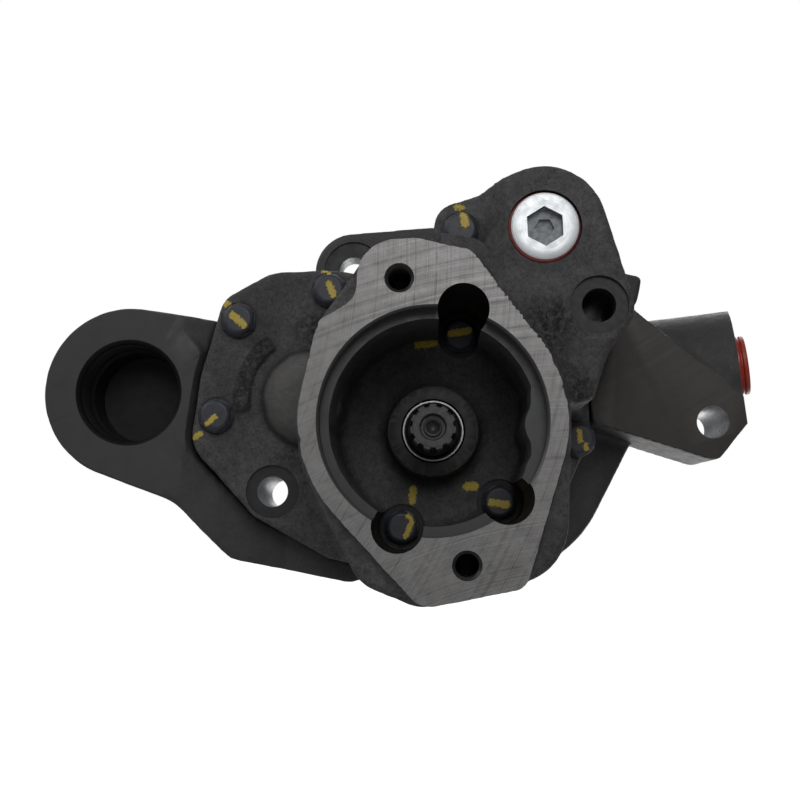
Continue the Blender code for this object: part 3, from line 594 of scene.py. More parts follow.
def make_milled(name, colour, streak, metallic, roughness, centres, depth, contrast):
    """A machined face with tool marks that cross, round two far centres."""
    finish = Finish(name, roughness, metallic)
    coarse = finish.lines(centres[0], 1.5, 5)
    cross = finish.lines(centres[1], 2.0, 5)
    fine = finish.lines(centres[0], 0.5, 3)
    weave = finish.lines(centres[1], 0.6, 3)
    cloud = finish.noise(9, 4, 0.6, 0.5)
    patches = finish.band(finish.noise(5, 3, 0.6), 0.35, 0.65, 0.25, 1.0)
    base = finish.mix(finish.band(cloud, 0.35, 0.65), colour, scaled(colour, 0.84))
    for marks, low, high, share in (
        (coarse, 0.55, 0.75, 0.4),
        (cross, 0.56, 0.76, 0.36),
        (fine, 0.35, 0.75, 0.22),
        (weave, 0.35, 0.75, 0.2),
    ):
        dark = finish.band(marks, low, high, 0.0, share * contrast)
        base = finish.mix(finish.calc("MULTIPLY", dark, patches), base, streak)
    rough = finish.band(cross, 0.3, 0.7, roughness - 0.06, roughness + 0.08)
    finish.bump(fine, depth)
    finish.bump(weave, depth)
    finish.bump(coarse, depth * 1.3)
    return finish.done(base, rough)


def make_metal(name, colour, roughness, metallic=1.0, tint=0.7, size=2.5, depth=0.02):
    """Plain metal with uneven tone and very fine marks."""
    finish = Finish(name, roughness, metallic)
    cloud = finish.noise(size, 5, 0.6, 0.3)
    fine = finish.noise(0.35, 3, 0.6)
    base = finish.mix(finish.band(cloud, 0.3, 0.7), colour, scaled(colour, tint))
    rough = finish.band(cloud, 0.3, 0.7, roughness - 0.07, roughness + 0.09)
    finish.bump(fine, depth)
    return finish.done(base, rough)


def make_turned(name, colour, roughness, place, metallic, depth=0.015):
    """A face turned round its own centre."""
    finish = Finish(name, roughness, metallic)
    rings = finish.lines(place, 0.35, 3)
    cloud = finish.noise(4, 4, 0.6, 0.4)
    base = finish.mix(finish.band(rings, 0.35, 0.7), colour, scaled(colour, 0.8))
    base = finish.mix(finish.band(cloud, 0.5, 0.75, 0.0, 0.35), base, scaled(colour, 0.6))
    rough = finish.band(cloud, 0.3, 0.7, roughness - 0.05, roughness + 0.1)
    finish.bump(rings, depth)
    return finish.done(base, rough)


def make_soft(name, colour, roughness, grain=0.03, specular=0.4):
    """Rubber or plastic with a fine grain and slight shade changes."""
    finish = Finish(name, roughness, 0.0, specular)
    cloud = finish.noise(3, 4, 0.6, 0.3)
    base = finish.mix(finish.band(cloud, 0.3, 0.7), colour, scaled(colour, 0.72))
    rough = finish.band(cloud, 0.3, 0.7, roughness - 0.06, roughness + 0.08)
    finish.bump(finish.noise(0.4, 3, 0.6), grain)
    return finish.done(base, rough)


def make_screw_finish():
    """Black oxide with a blue cast, worn corners and yellow paint."""
    finish = Finish("screw_black", 0.45, 0.0, 0.5)
    cloud = finish.noise(1.6, 4, 0.6)
    base = finish.mix(finish.band(cloud, 0.3, 0.7), (0.026, 0.028, 0.038), (0.048, 0.051, 0.065))
    edge = finish.add("NewGeometry").outputs["Pointiness"]
    worn = finish.band(edge, 0.53, 0.6, 0.0, 0.5)
    base = finish.mix(worn, base, (0.1, 0.105, 0.125))
    share = finish.paint()
    streak = finish.band(finish.noise(0.6, 3, 0.6), 0.3, 0.7)
    base = finish.mix(share, base, finish.mix(streak, (0.4, 0.3, 0.05), YELLOW))
    finish.bump(finish.noise(0.5, 4, 0.6), 0.05)
    finish.bump(share, 0.12)
    return finish.done(base, finish.band(cloud, 0.3, 0.7, 0.38, 0.55))


COVER_CAST = make_cast(
    "cover_cast", (0.05, 0.0495, 0.051), (0.082, 0.081, 0.083), (0.13, 0.122, 0.115), 1.0, True
)
BODY_CAST = make_cast(
    "body_cast", (0.042, 0.041, 0.0415), (0.06, 0.0585, 0.059), (0.078, 0.074, 0.071), 0.35, False,
    0.55,
)
ARM_FACE = make_milled(
    "arm_face", (0.056, 0.05, 0.047), (0.074, 0.068, 0.064), 0.0, 0.55,
    ((150, -160), (-40, 260)), 0.003, 0.35,
)
PORT_FACE = make_metal("port_face", (0.046, 0.044, 0.045), 0.55, 0.0, 0.86, 8, 0.006)
PAD_FACE = make_milled(
    "pad_face", (0.3, 0.294, 0.291), (0.07, 0.065, 0.064), 0.6, 0.4,
    ((-190, 60), (60, -210)), 0.03, 1.6,
)
SHOULDER = make_turned("shoulder_ring", (0.075, 0.076, 0.078), 0.42, AXIS, 0.4)
DARK_FACE = make_metal("dark_machined", (0.028, 0.028, 0.029), 0.5, 0.2, 0.75, 3, 0.01)
HOLE_WALL = make_metal("bright_bore", (0.78, 0.79, 0.81), 0.42, 0.75, 0.55, 1.4, 0.05)
BORE_DARK = make_metal("dark_bore", (0.008, 0.008, 0.0085), 0.5, 0.2, 0.7, 3, 0.01)
TAP_WALL = make_metal("tapped_hole", (0.05, 0.05, 0.052), 0.42, 0.5, 0.6, 1.2, 0.01)
BOSS_FACE = make_turned("boss_face", (0.012, 0.012, 0.0125), 0.5, AXIS, 0.0)
SHAFT_STEEL = make_metal("shaft_steel", (0.09, 0.09, 0.093), 0.45, 0.5, 0.7, 2.0, 0.02)
GROUND_STEEL = make_metal("ground_steel", (0.45, 0.45, 0.46), 0.3, 1.0, 0.8, 3.0, 0.01)
BRONZE = make_metal("bush_bronze", (0.52, 0.33, 0.15), 0.38, 1.0, 0.75, 2.2, 0.02)
RUBBER = make_soft("black_rubber", (0.018, 0.018, 0.019), 0.6)
SEAL_STEEL = make_metal("seal_steel", (0.5, 0.5, 0.51), 0.3, 1.0, 0.7, 1.5, 0.01)
ZINC = make_turned("zinc_plug", (0.8, 0.83, 0.85), 0.36, OUTLET, 0.6, 0.008)
SOCKET = make_metal("socket_steel", (0.36, 0.39, 0.4), 0.5, 0.35, 0.6, 1.8, 0.12)
RED_RUBBER = make_soft("red_rubber", (0.17, 0.018, 0.016), 0.42)
RED_PLASTIC = make_soft("red_plastic", (0.5, 0.05, 0.03), 0.38, 0.02, 0.5)
SCREW_FINISH = make_screw_finish()


# ---------------------------------------------------------------- castings


def sand_cast(blank, name, voxel, rounding, finish, relief):
    """Gives a clean blank fine even cells, softened edges and a rough skin."""
    remesh = blank.modifiers.new("cells", "REMESH")
    remesh.mode = "VOXEL"
    remesh.voxel_size = voxel * MM
    soften = blank.modifiers.new("soften", "SMOOTH")
    soften.factor = 0.5
    soften.iterations = rounding
    blank.data = mesh = apply_modifiers(blank)
    points = points_of(mesh)
    points += vectors_of(mesh, "normal") * relief(points)[:, None]
    low, high = (np.array(corner)[SIDEWAYS] / MM for corner in (cad_low, cad_high))
    points[:, SIDEWAYS] = np.clip(points[:, SIDEWAYS], low, high)
    mesh.vertices.foreach_set("co", (points * MM).ravel())
    mesh.update()
    mesh.materials.clear()
    mesh.materials.append(finish)
    blank.name = name
    return blank


def harsh_share(points):
    """Where the sand has left lumps and pits, from 0 to 1."""
    harsh = near(points, (44, 36), 17) + 0.8 * near(points, (50, 12), 13)
    harsh += 0.7 * near(points, (-49, 43), 13) + 0.6 * near(points, (-31, 56), 9)
    harsh += 0.5 * near(points, (-45, -14), 16) + 0.5 * near(points, (-60, -6), 12)
    return np.clip(harsh * (0.8 + noise(points, 16, 2, 5)), 0, 1)


def band_share(points):
    """The raised, lumpy band on the plate between two screws, from 0 to 1."""
    span = distance(points, IDLER)
    heading = np.arctan2(points[:, 2] - IDLER[1], points[:, 0] - IDLER[0]) % TURN
    inside = np.clip((span - 25) / 1.2, 0, 1) * np.clip((32.5 - span) / 1.2, 0, 1)
    ends = np.clip((heading - 2.15) / 0.08, 0, 1) * np.clip((3.35 - heading) / 0.08, 0, 1)
    return inside * ends * (points[:, 1] > PLATE_Y - 3)


def cover_relief(points):
    """Outward shift of each point of the cover's skin."""
    patch = noise(points, 16, 2, 5)
    lumps = noise(points, 5.5, 3, 11)
    grit = noise(points, 2.2, 2, 23)
    harsh = harsh_share(points)
    pits = np.clip(-noise(points, 3.0, 2, 31) - 0.25, 0, 1)
    shift = 0.22 * lumps + 0.14 * grit - 0.25 + 0.12 * patch
    shift += harsh * (0.75 * noise(points, 3.6, 2, 41) - 1.3 * pits - 0.1)
    valley = np.exp(-(((distance(points, IDLER) - 21.5) / 1.3) ** 2)) * (points[:, 1] < PLATE_Y + 1.5)
    shift -= 0.7 * valley * (points[:, 0] < -38)
    shift += band_share(points) * (0.55 + 0.5 * noise(points, 2.6, 2, 67))
    rim = np.clip((points[:, 0] - 8) / 10, 0, 1) * np.clip((points[:, 2] - 2) / 10, 0, 1)
    rim *= np.clip((-104 - points[:, 1]) / 3, 0, 1) * (distance(points) > 44)
    shift += rim * (1.1 * noise(points, 3.2, 2, 53) - 0.3)
    inside = distance(points) < 42
    calm = np.where(inside & (points[:, 1] > -112), 0.45, 1.0)
    return shift * calm


def body_relief(points):
    wave = noise(points, 18, 2, 61)
    lumps = noise(points, 6, 2, 71)
    grit = noise(points, 2.6, 2, 83)
    return 0.14 * wave + 0.09 * lumps + 0.06 * grit - 0.15


def pad_bolt_places():
    heading = TURN / 4 + PAD_BOLT_TILT
    x, z = PAD_BOLT_REACH * math.cos(heading), PAD_BOLT_REACH * math.sin(heading)
    return [(x, z), (-x, -z)]


def threaded(place, front, depth, minor, major, pitch, sides=32):
    """A cutter for a tapped hole with its ridges and its countersunk mouth."""
    mouth = major - minor + 0.5
    profile = [(0, front - 1), (minor + mouth + 1, front - 1), (minor + mouth, front)]
    here = front + mouth
    profile.append((minor, here))
    while here < front + depth:
        profile += [(minor, here + 0.15 * pitch), (major, here + 0.5 * pitch)]
        profile += [(major, here + 0.62 * pitch), (minor, here + 0.95 * pitch)]
        here += pitch
    end = front + depth + 4
    profile += [(minor, end), (0, end + 0.5 * minor)]
    return spin(profile, place, sides)


def make_front_cover():
    """The cover before and after machining: plate, bell, lobe, pad, dome, cavity and boss."""
    wall = belt(PLATE_BELT)
    cover = loft(PLATE_BELT, [(-48.5, -2), (-48.1, -0.9), (-47.2, -0.2), (-45.6, 0), (-25, 0)])
    skirt = loft(
        BELL_BELT, [(-58, 0), (-54, 0.9), (-51.5, 2.2), (-49.6, 4), (-48, 6.6), (-44, 6.6)]
    )
    combine(skirt, prism(wall, -70, -40), "INTERSECT")
    lobe = loft(
        LOBE_BELT,
        [(-103.9, -2.6), (-103.5, -1.3), (-102.6, -0.5), (-101, 0), (-57, 0)]
        + [(-52, 1.4), (-49.5, 3.2), (-47.6, 6), (-44, 6)],
    )
    combine(lobe, prism(wall, -110, -40), "INTERSECT")
    step = [(-110, 9.4), (-103.4, 7.4), (-99.5, 4.4), (-95.4, 1.8), (-92.6, 0), (-91.2, -1.2)]
    cut(lobe, None, loft(LUG_STEP_BELT, step + [(-90.6, -2.8)]))
    root = [(-107.5, 0), (-105.6, 0.7), (-104.3, 2), (-103.4, 4.4), (-103, 7), (-98, 7)]
    root = combine(loft(BELL_BELT, root), prism(belt(LOBE_BELT, -1.5), -110, -90), "INTERSECT")
    rim = [(-116.4, 0), (-102, 0), (-99.5, -1.6)]
    add(
        cover,
        skirt,
        loft(BELL_BELT, [(-110.2, -1.6), (-109.6, -0.6), (-108, 0), (-44, 0)]),
        loft(PAD_BELT, rim),
        lobe,
        root,
        spin(
            [(0, -60.3), (8.5, -60), (12.5, -58.9), (15.6, -56.7), (17.8, -53.6)]
            + [(19.4, -50.9), (21.6, -49), (25, -47.9), (25, -44), (0, -44)],
            IDLER,
        ),
    )
    cavity = spin(
        [(0, -118), (38, -118), (38, -52.5), (36.6, -49.6), (33.8, -48), (0, -48)], sides=96
    )
    cut(
        cavity,
        None,
        drum((44, -1), 10.6, -109, -40),
        drum((40.6, -18.5), 7.4, -109, -40),
        prism([(35.6, 12), (35.6, -22), (60, -22), (60, 12)], -109, -40),
        drum((-44, 9), 8.5, -80, -40),
    )
    cut(cover, None, cavity)
    add(
        cover,
        spin(
            [(0, -63.4), (17.4, -63.4), (18.5, -62.4), (19.3, -51), (20.6, -49)]
            + [(23.5, -47.8), (23.5, -44), (0, -44)]
        ),
    )
    for place in POCKET_SCREWS:
        add(cover, spin([(0, -49), (11.6, -49), (12.2, -48.4), (12.2, -44), (0, -44)], place))
    sand_cast(cover, "front_cover_casting", 1.05, 3, COVER_CAST, cover_relief)
    finish_cover(cover)
    return cover


def ragged_edge():
    """A cutter that leaves torn teeth along the pad's upper right edge."""
    edge = [point for point in belt(PAD_BELT) if point[0] > 14 and point[1] > 16]
    marks = []
    for start, end in zip(edge, edge[1:]):
        count = max(1, round(math.dist(start, end) / 1.1))
        for step in range(count):
            share = step / count
            marks.append([first + (last - first) * share for first, last in zip(start, end)])
    inner, outer = [], []
    for index, (x, z) in enumerate(marks):
        reach = math.hypot(x, z)
        bite = (0.15, 1.25)[index % 2] * (0.75 + 0.5 * math.sin(2.3 * index) ** 2)
        bite *= 0.4 + 0.6 * min(1, index / len(marks) * 1.6 if z < 50 else 0.3)
        inner.append((x * (1 - bite / reach), z * (1 - bite / reach)))
        outer.append((x * (1 + 6 / reach), z * (1 + 6 / reach)))
    return prism(inner + outer[::-1], PAD_Y - 3, PAD_Y + 2.5)


def finish_cover(cover):
    """Every face that a tool cuts in the cover."""
    cut(cover, COVER_CAST, ragged_edge())
    cut(cover, PAD_FACE, drum((0, 0), 120, PAD_Y - 8, PAD_Y))
    cut(cover, DARK_FACE, drum((-20, 20), 150, JOINT_Y - HALF_JOINT, JOINT_Y + 8))
    pilot = [(0, PAD_Y - 1), (PILOT_RADIUS + 1.6, PAD_Y - 1), (PILOT_RADIUS + 0.8, PAD_Y)]
    pilot += [(PILOT_RADIUS, PAD_Y + 0.8), (PILOT_RADIUS, SHOULDER_Y), (0, SHOULDER_Y)]
    cut(cover, SHOULDER, spin(pilot, sides=128))
    cut(cover, BOSS_FACE, drum(AXIS, 19, -67, BOSS_Y))
    for place in POCKET_SCREWS:
        pocket = [(0, PAD_Y - 1), (9.7, PAD_Y - 1), (9.3, PAD_Y + 0.4), (9.3, PLATE_Y), (0, PLATE_Y)]
        cut(cover, BORE_DARK, spin(pocket, place, 64))
    cut(cover, DARK_FACE, drum(LOBE_SCREW, 7.6, LOBE_Y + 6, LOBE_SEAT_Y))
    for place in PLATE_SCREWS:
        cut(cover, DARK_FACE, drum(place, 7.9, PLATE_Y - 6, PLATE_Y))
    for place in PLATE_SCREWS + POCKET_SCREWS + [LOBE_SCREW]:
        cut(cover, BORE_DARK, drum(place, SCREW_BORE, PAD_Y, JOINT_Y + 1, 32))
    for place in DOWELS:
        cut(cover, DARK_FACE, drum(place, DOWEL_BORE, JOINT_Y - 11, JOINT_Y + 1, 32))
    for place, face, wall in (
        (LOWER_HOLE, PLATE_Y + 1, HOLE_WALL),
        (LOBE_HOLE, LOBE_Y + 1.5, TAP_WALL),
    ):
        cut(cover, DARK_FACE, drum(place, 10.9, face - 8, face, 96))
        hole = [(0, face - 1), (MOUNT_BORE + 0.7, face - 1), (MOUNT_BORE, face + 0.3)]
        hole += [(MOUNT_BORE, JOINT_Y + 1), (0, JOINT_Y + 1)]
        cut(cover, wall, spin(hole, place, 64))
    cut(
        cover,
        DARK_FACE,
        drum(OUTLET, 13.8, LOBE_Y - 2, LOBE_Y + 2.5, 96),
        drum(OUTLET, 9.9, LOBE_Y, LOBE_Y + 18),
        drum(OUTLET, OUTLET_BORE, LOBE_Y, JOINT_Y + 1),
    )
    for place in pad_bolt_places():
        cut(cover, TAP_WALL, threaded(place, PAD_Y, 20, 4.3, 4.95, 1.5))
    seal_bore = [(0, BOSS_Y - 1), (13.4, BOSS_Y - 1), (12.6, BOSS_Y + 0.6), (12.6, BOSS_Y + 9.5)]
    seal_bore += [(SHAFT_BORE, BOSS_Y + 9.5), (SHAFT_BORE, JOINT_Y), (0, JOINT_Y)]
    cut(cover, DARK_FACE, spin(seal_bore))
    for place in (AXIS, IDLER):
        cut(cover, GROUND_STEEL, drum(place, BUSH_BORE, JOINT_Y - BUSH_LENGTH - 1, JOINT_Y + 1))


def pressure_point(reach):
    """A point on the pressure port's axis, measured inwards from its face."""
    return PRESSURE_FACE - reach * PRESSURE_OUTWARDS


def make_pump_body():
    """The body before and after machining: block, arm, suction boss, passage, ear, foot and hub."""
    body = prism(belt(PLATE_BELT), JOINT_Y - 1, SEAT_Y + 4)
    arm = loft(ARM_BELT, [(-48.6, 0), (3, 0)])
    add(arm, rod(pressure_point(-0.6), pressure_point(48), PRESSURE_BOSS, PRESSURE_BOSS + 0.8))
    suction = spin(
        [(0, -43.8), (32.4, -43.8), (34.4, -43.2), (35.7, -42), (36.2, -39.8), (36.2, -6)]
        + [(35.4, -3.2), (33, -2), (0, -2)],
        SUCTION,
        96,
    )
    neck = [(-44.2, -3), (-43.7, -1.6), (-42.6, -0.5), (-40.8, 0), (-5, 0), (-2.2, -0.8)]
    neck = loft(PASSAGE_BELT, neck + [(-1, -2.2)])
    cut(neck, None, skin([[(x, y, z) for x, y in NECK_SLOPE] for z in (-90, 90)]))
    add(suction, neck)
    valley = [(-52, 6), (-43.4, 3.6), (-42, 2.4), (-39.5, 1.2), (-36, 0.7), (-26, 0.6)]
    cut(suction, None, loft(PLATE_BELT, valley))
    cut(arm, None, loft(PLATE_BELT, [(-52, 0.6), (-26, 0.6)]))
    add(
        body,
        arm,
        suction,
        loft(EAR_BELT, [(-15.4, -1.7), (-15, -0.7), (-14, 0), (3, 0)]),
        loft(FOOT_BELT, [(-19.4, -2.2), (-18.9, -1), (-17.6, 0), (4, 0)]),
    )
    cut(body, None, drum((0, 0), 220, SEAT_Y + 0.2, SEAT_Y + 12))
    add(
        body,
        prism(belt(twin_belt(20)), -3, 11),
        drum(IDLER, 19, -5, IDLER_HUB_Y + 0.4),
        drum(AXIS, 20.5, -6, REAR_HUB_Y + 0.4),
    )
    sand_cast(body, "pump_body_casting", 1.25, 2, BODY_CAST, body_relief)
    finish_body(body)
    return body


def finish_body(body):
    """Every face that a tool cuts in the body."""
    cut(body, DARK_FACE, prism(belt(PLATE_BELT, 0.25), JOINT_Y - 6, JOINT_Y + HALF_JOINT))
    cut(body, ARM_FACE, prism([(60, -30), (160, -30), (160, 60), (60, 60)], -60, PLATE_Y))
    cut(body, PORT_FACE, drum(SUCTION, 45, SUCTION_Y - 8, SUCTION_Y, 96))
    seat = drum((0, 0), 260, SEAT_Y, SEAT_Y + 12, 96)
    cut(seat, None, prism(belt(twin_belt(21.5)), SEAT_Y - 5, SEAT_Y + 30))
    cut(body, DARK_FACE, seat)
    register = spin([(0, -4), (41, -4), (41, 5.2), (40.2, 6), (0, 6)], sides=128)
    register.data.materials.append(DARK_FACE)
    add(body, register)
    cut(body, DARK_FACE, drum(IDLER, 25, IDLER_HUB_Y, IDLER_HUB_Y + 4))
    cut(body, DARK_FACE, drum(AXIS, 30, REAR_HUB_Y, REAR_HUB_Y + 4))
    for place in (AXIS, IDLER):
        cut(body, GROUND_STEEL, drum(place, CHAMBER_RADIUS, JOINT_Y - 1, CHAMBER_END_Y, 96))
        end = CHAMBER_END_Y + BUSH_LENGTH + 0.6
        cut(body, GROUND_STEEL, drum(place, BUSH_BORE, JOINT_Y - 1, end))
    cut(
        body,
        DARK_FACE,
        drum(AXIS, SHAFT_BORE, SEAT_Y, REAR_HUB_Y + 1),
        spin(
            [(0, REAR_BORE_Y), (15.3, REAR_BORE_Y), (15.3, REAR_HUB_Y - 0.6), (16.1, REAR_HUB_Y + 0.2)]
            + [(16.1, REAR_HUB_Y + 2), (0, REAR_HUB_Y + 2)]
        ),
    )
    cut_ports(body)
    for place in PLATE_SCREWS + POCKET_SCREWS + [LOBE_SCREW]:
        cut(body, BORE_DARK, drum(place, SCREW_BORE, JOINT_Y - 1, -8, 32))
    for place in (LOWER_HOLE, LOBE_HOLE, EAR_HOLE):
        cut(body, HOLE_WALL, drum(place, MOUNT_BORE, PLATE_Y, SEAT_Y + 1))
    arm_hole = [(0, -49), (7.1, -49), (6.5, -47.4), (6.5, SEAT_Y + 1), (0, SEAT_Y + 1)]
    cut(body, HOLE_WALL, spin(arm_hole, ARM_HOLE))
    cut(body, DARK_FACE, drum(EAR_HOLE, 13, EAR_Y - 4, EAR_Y + 0.8, 96))
    for place in DOWELS:
        cut(body, DARK_FACE, drum(place, DOWEL_BORE, JOINT_Y - 1, JOINT_Y + 11, 32))
    depths, core_depths = (JOINT_Y - 1, JOINT_Y + 1.8), (JOINT_Y - 2, JOINT_Y + 3)
    joint_groove = prism(belt(twin_belt(33.7)), *depths)
    cut(joint_groove, None, prism(belt(twin_belt(31.7)), *core_depths))
    outlet_groove = drum(OUTLET, 12.6, *depths)
    cut(outlet_groove, None, drum(OUTLET, 10.2, *core_depths))
    cut(body, DARK_FACE, joint_groove, outlet_groove)


def cut_ports(body):
    """The suction bore and its passage, the gallery and the pressure bore."""
    bore = SUCTION_BORE
    mouth = [(0, SUCTION_Y - 1), (bore + 2.4, SUCTION_Y - 1), (bore + 1.8, SUCTION_Y)]
    mouth.append((bore + 0.3, SUCTION_Y + 1.5))
    here = SUCTION_Y + 3
    while here < SUCTION_Y + 15:
        mouth += [(bore, here), (bore + 0.75, here + 0.8), (bore + 0.75, here + 1.1)]
        mouth.append((bore, here + 1.9))
        here += 2.1
    mouth += [(bore, SUCTION_Y + 17), (bore - 1.4, SUCTION_Y + 18.4), (bore - 1.4, -8), (0, -8)]
    cut(body, BORE_DARK, spin(mouth, SUCTION, 96))
    passage = [(-120, 8), (-81.5, -40), (-36, -46), (-29, -8)]
    drill(body, zip(passage, passage[1:]), 8)
    drill(body, [((-20, 27), (-11, 57)), ((-14, 55.7), (83, 64)), ((79, 66), (79, 20))], 6.5)
    cut(
        body,
        BORE_DARK,
        drum(OUTLET, OUTLET_BORE, JOINT_Y - 1, -11),
        rod(pressure_point(-2), pressure_point(60), 10),
    )
    cut(body, DARK_FACE, rod(pressure_point(0), pressure_point(-20), 60))


def drill(body, runs, radius):
    """Straight passages between places in X and Z, all at one depth."""
    for (start_x, start_z), (end_x, end_z) in runs:
        run = rod((start_x, PASSAGE_Y, start_z), (end_x, PASSAGE_Y, end_z), radius)
        cut(body, BORE_DARK, run)


def keep_daubs(obj):
    """Stores each point's distance to the nearest daub's edge, in millimetres."""
    everywhere = points_of(obj.data)
    points = everywhere[:, SIDEWAYS]
    nearest = np.full(len(points), FAR_FROM_DAUBS)
    for start, end, width in DAUBS:
        start, run = np.array(start), np.array(end) - np.array(start)
        along = np.clip((points - start) @ run / (run @ run), 0, 1)
        span = np.linalg.norm(points - start - along[:, None] * run, axis=1) - width / 2
        nearest = np.minimum(nearest, span)
    raised = near(everywhere, LOBE_SCREW, 16) > 0
    nearest[(everywhere[:, 1] < PLATE_Y - 6) & ~raised] = FAR_FROM_DAUBS
    attribute = obj.data.attributes.new("daub", "FLOAT", "POINT")
    attribute.data.foreach_set("value", nearest)


def keep_shares(obj):
    """Stores on each point how harsh the cover's skin is, its painted shade in the dome's valley ring and
    along the band's edges, and the painted sheen on the dome.
    """
    points = points_of(obj.data)
    span = distance(points, IDLER) + 0.8 * noise(points, 6, 2, 71)
    left = np.clip((-34 - points[:, 0]) / 6, 0, 1) * (points[:, 1] > PAD_Y + 8)
    band = band_share(points)
    # The raised band's edges, darkened as painted shade of their grooves.
    band_edge_shade = np.clip(1 - np.abs(band - 0.5) * 2.2, 0, 1) * 0.8
    # The valley ring round the dome, darkened as painted shade.
    rim = np.exp(-(((span - 20.4) / 1.5) ** 2)) * left
    shares = {
        "harsh": np.clip(1.4 * harsh_share(points) + 0.7 * band, 0, 1),
        "painted_shade": np.clip(0.8 * rim + band_edge_shade, 0, 0.85),
        "painted_sheen": np.clip((19.3 - span) / 1.5, 0, 1) * left * 0.55,
    }
    for name, share in shares.items():
        obj.data.attributes.new(name, "FLOAT", "POINT").data.foreach_set("value", share)


# ---------------------------------------------------------------- shafts and gears


def involute(angle):
    return math.tan(angle) - angle


def gear_outline(heading, centre=AXIS):
    pitch_radius = math.hypot(*IDLER) / 2
    base_radius = pitch_radius * math.cos(PRESSURE_ANGLE)
    base_half = TURN / TEETH / 4 - BACKLASH / pitch_radius / 2 + involute(PRESSURE_ANGLE)
    flank = [(ROOT_RADIUS, base_half + 0.05), (ROOT_RADIUS + 0.4, base_half + 0.02)]
    for step in range(7):
        radius = base_radius + (TIP_RADIUS - base_radius) * step / 6
        flank.append((radius, base_half - involute(math.acos(min(1, base_radius / radius)))))
    outline = []
    for tooth in range(TEETH):
        middle = heading + TURN * tooth / TEETH
        sides = [(radius, middle - half) for radius, half in flank]
        sides += [(radius, middle + half) for radius, half in reversed(flank)]
        for radius, angle in sides:
            outline.append((centre[0] + radius * math.cos(angle), centre[1] + radius * math.sin(angle)))
    return outline


def spline_outline():
    """Straight-flanked splines with narrow gaps."""
    pitch = TURN / SPLINE_TEETH
    corners = ((-0.33, SPLINE_ROOT), (-0.25, SPLINE_TIP - 0.15), (-0.21, SPLINE_TIP), (-0.07, SPLINE_TIP))
    outline = []
    for tooth in range(SPLINE_TEETH):
        middle = TURN / 4 + pitch * tooth
        for share, radius in corners + tuple((-share, radius) for share, radius in corners[::-1]):
            angle = middle + share * pitch
            outline.append((radius * math.cos(angle), radius * math.sin(angle)))
    return outline


def make_drive_shaft():
    end = SHAFT_END_Y
    neck = end + 18
    rear = REAR_HUB_Y + 4
    profile = [
        (0, end + 5.5), (1.6, end + 3.6), (2.7, end + 2.6), (2.75, end + 1.5), (3.3, end + 1.3),
        (3.6, end + 1.5), (3.7, end + 2.6), (4.7, end + 2.6), (4.9, end + 0.4), (5.3, end),
        (7.8, end), (8.1, end + 0.3), (8.1, neck),
        (JOURNAL_RADIUS, neck + 2), (JOURNAL_RADIUS, rear), (8, rear + 2),
        (8, SHAFT_REAR_Y - 0.8), (7.2, SHAFT_REAR_Y), (2.2, SHAFT_REAR_Y), (0, SHAFT_REAR_Y - 2.4),
    ]
    shaft = spin(profile, name="drive_shaft")
    outline = spline_outline()
    small = [(0.93 * x, 0.93 * z) for x, z in outline]
    rings = ((end + 0.1, small), (end + 0.8, outline), (neck + 1, outline))
    front = skin([[(x, y, z) for x, z in ring] for y, ring in rings])
    cut(front, None, drum(AXIS, 6, end - 1, neck + 2))
    back = prism(outline, rear + 1, SHAFT_REAR_Y - 0.8)
    heading = math.atan2(IDLER[1], IDLER[0])
    add(shaft, front, back, prism(gear_outline(heading), GEAR_FRONT_Y, GEAR_BACK_Y))
    shaft.data.materials.clear()
    shaft.data.materials.append(SHAFT_STEEL)
    return shade(shaft, 30)


def make_idler_shaft():
    front = JOINT_Y - BUSH_LENGTH
    back = CHAMBER_END_Y + BUSH_LENGTH
    edge = JOURNAL_RADIUS - 0.8
    profile = [(0, front), (edge, front), (JOURNAL_RADIUS, front + 0.8)]
    profile += [(JOURNAL_RADIUS, back - 0.8), (edge, back), (0, back)]
    shaft = spin(profile, IDLER, name="idler_shaft")
    heading = math.atan2(-IDLER[1], -IDLER[0]) + TURN / TEETH / 2
    add(shaft, prism(gear_outline(heading, IDLER), GEAR_FRONT_Y, GEAR_BACK_Y))
    shaft.data.materials.append(GROUND_STEEL)
    return shade(shaft, 30)


def make_lip_seal(name, outer, front, back, facing):
    """A steel case with a rubber lip round the shaft and a garter spring groove."""
    lip = JOURNAL_RADIUS + 0.2
    near_y, far_y = (front, back) if facing > 0 else (back, front)
    case = spin(
        [(outer - 0.9, near_y + 0.5 * facing), (outer - 0.75, near_y), (outer - 0.2, near_y)]
        + [(outer, near_y + 0.3 * facing), (outer, far_y), (outer - 0.9, far_y)],
        ring=True,
        sides=96,
        name=name + "_case",
    )
    rubber = spin(
        [(outer - 0.9, near_y + 0.9 * facing), (outer - 1.3, near_y + 0.8 * facing)]
        + [(lip + 0.9, near_y + 2.2 * facing), (lip, near_y + 2.8 * facing)]
        + [(lip + 0.5, near_y + 4.2 * facing)]
        + [(lip + 0.9, far_y - 0.4 * facing), (outer - 0.9, far_y - 0.4 * facing)],
        ring=True,
        sides=96,
        name=name + "_lip",
    )
    case.data.materials.append(SEAL_STEEL)
    rubber.data.materials.append(RUBBER)
    return shade(case), shade(rubber)


# ---------------------------------------------------------------- screws, plug and cap


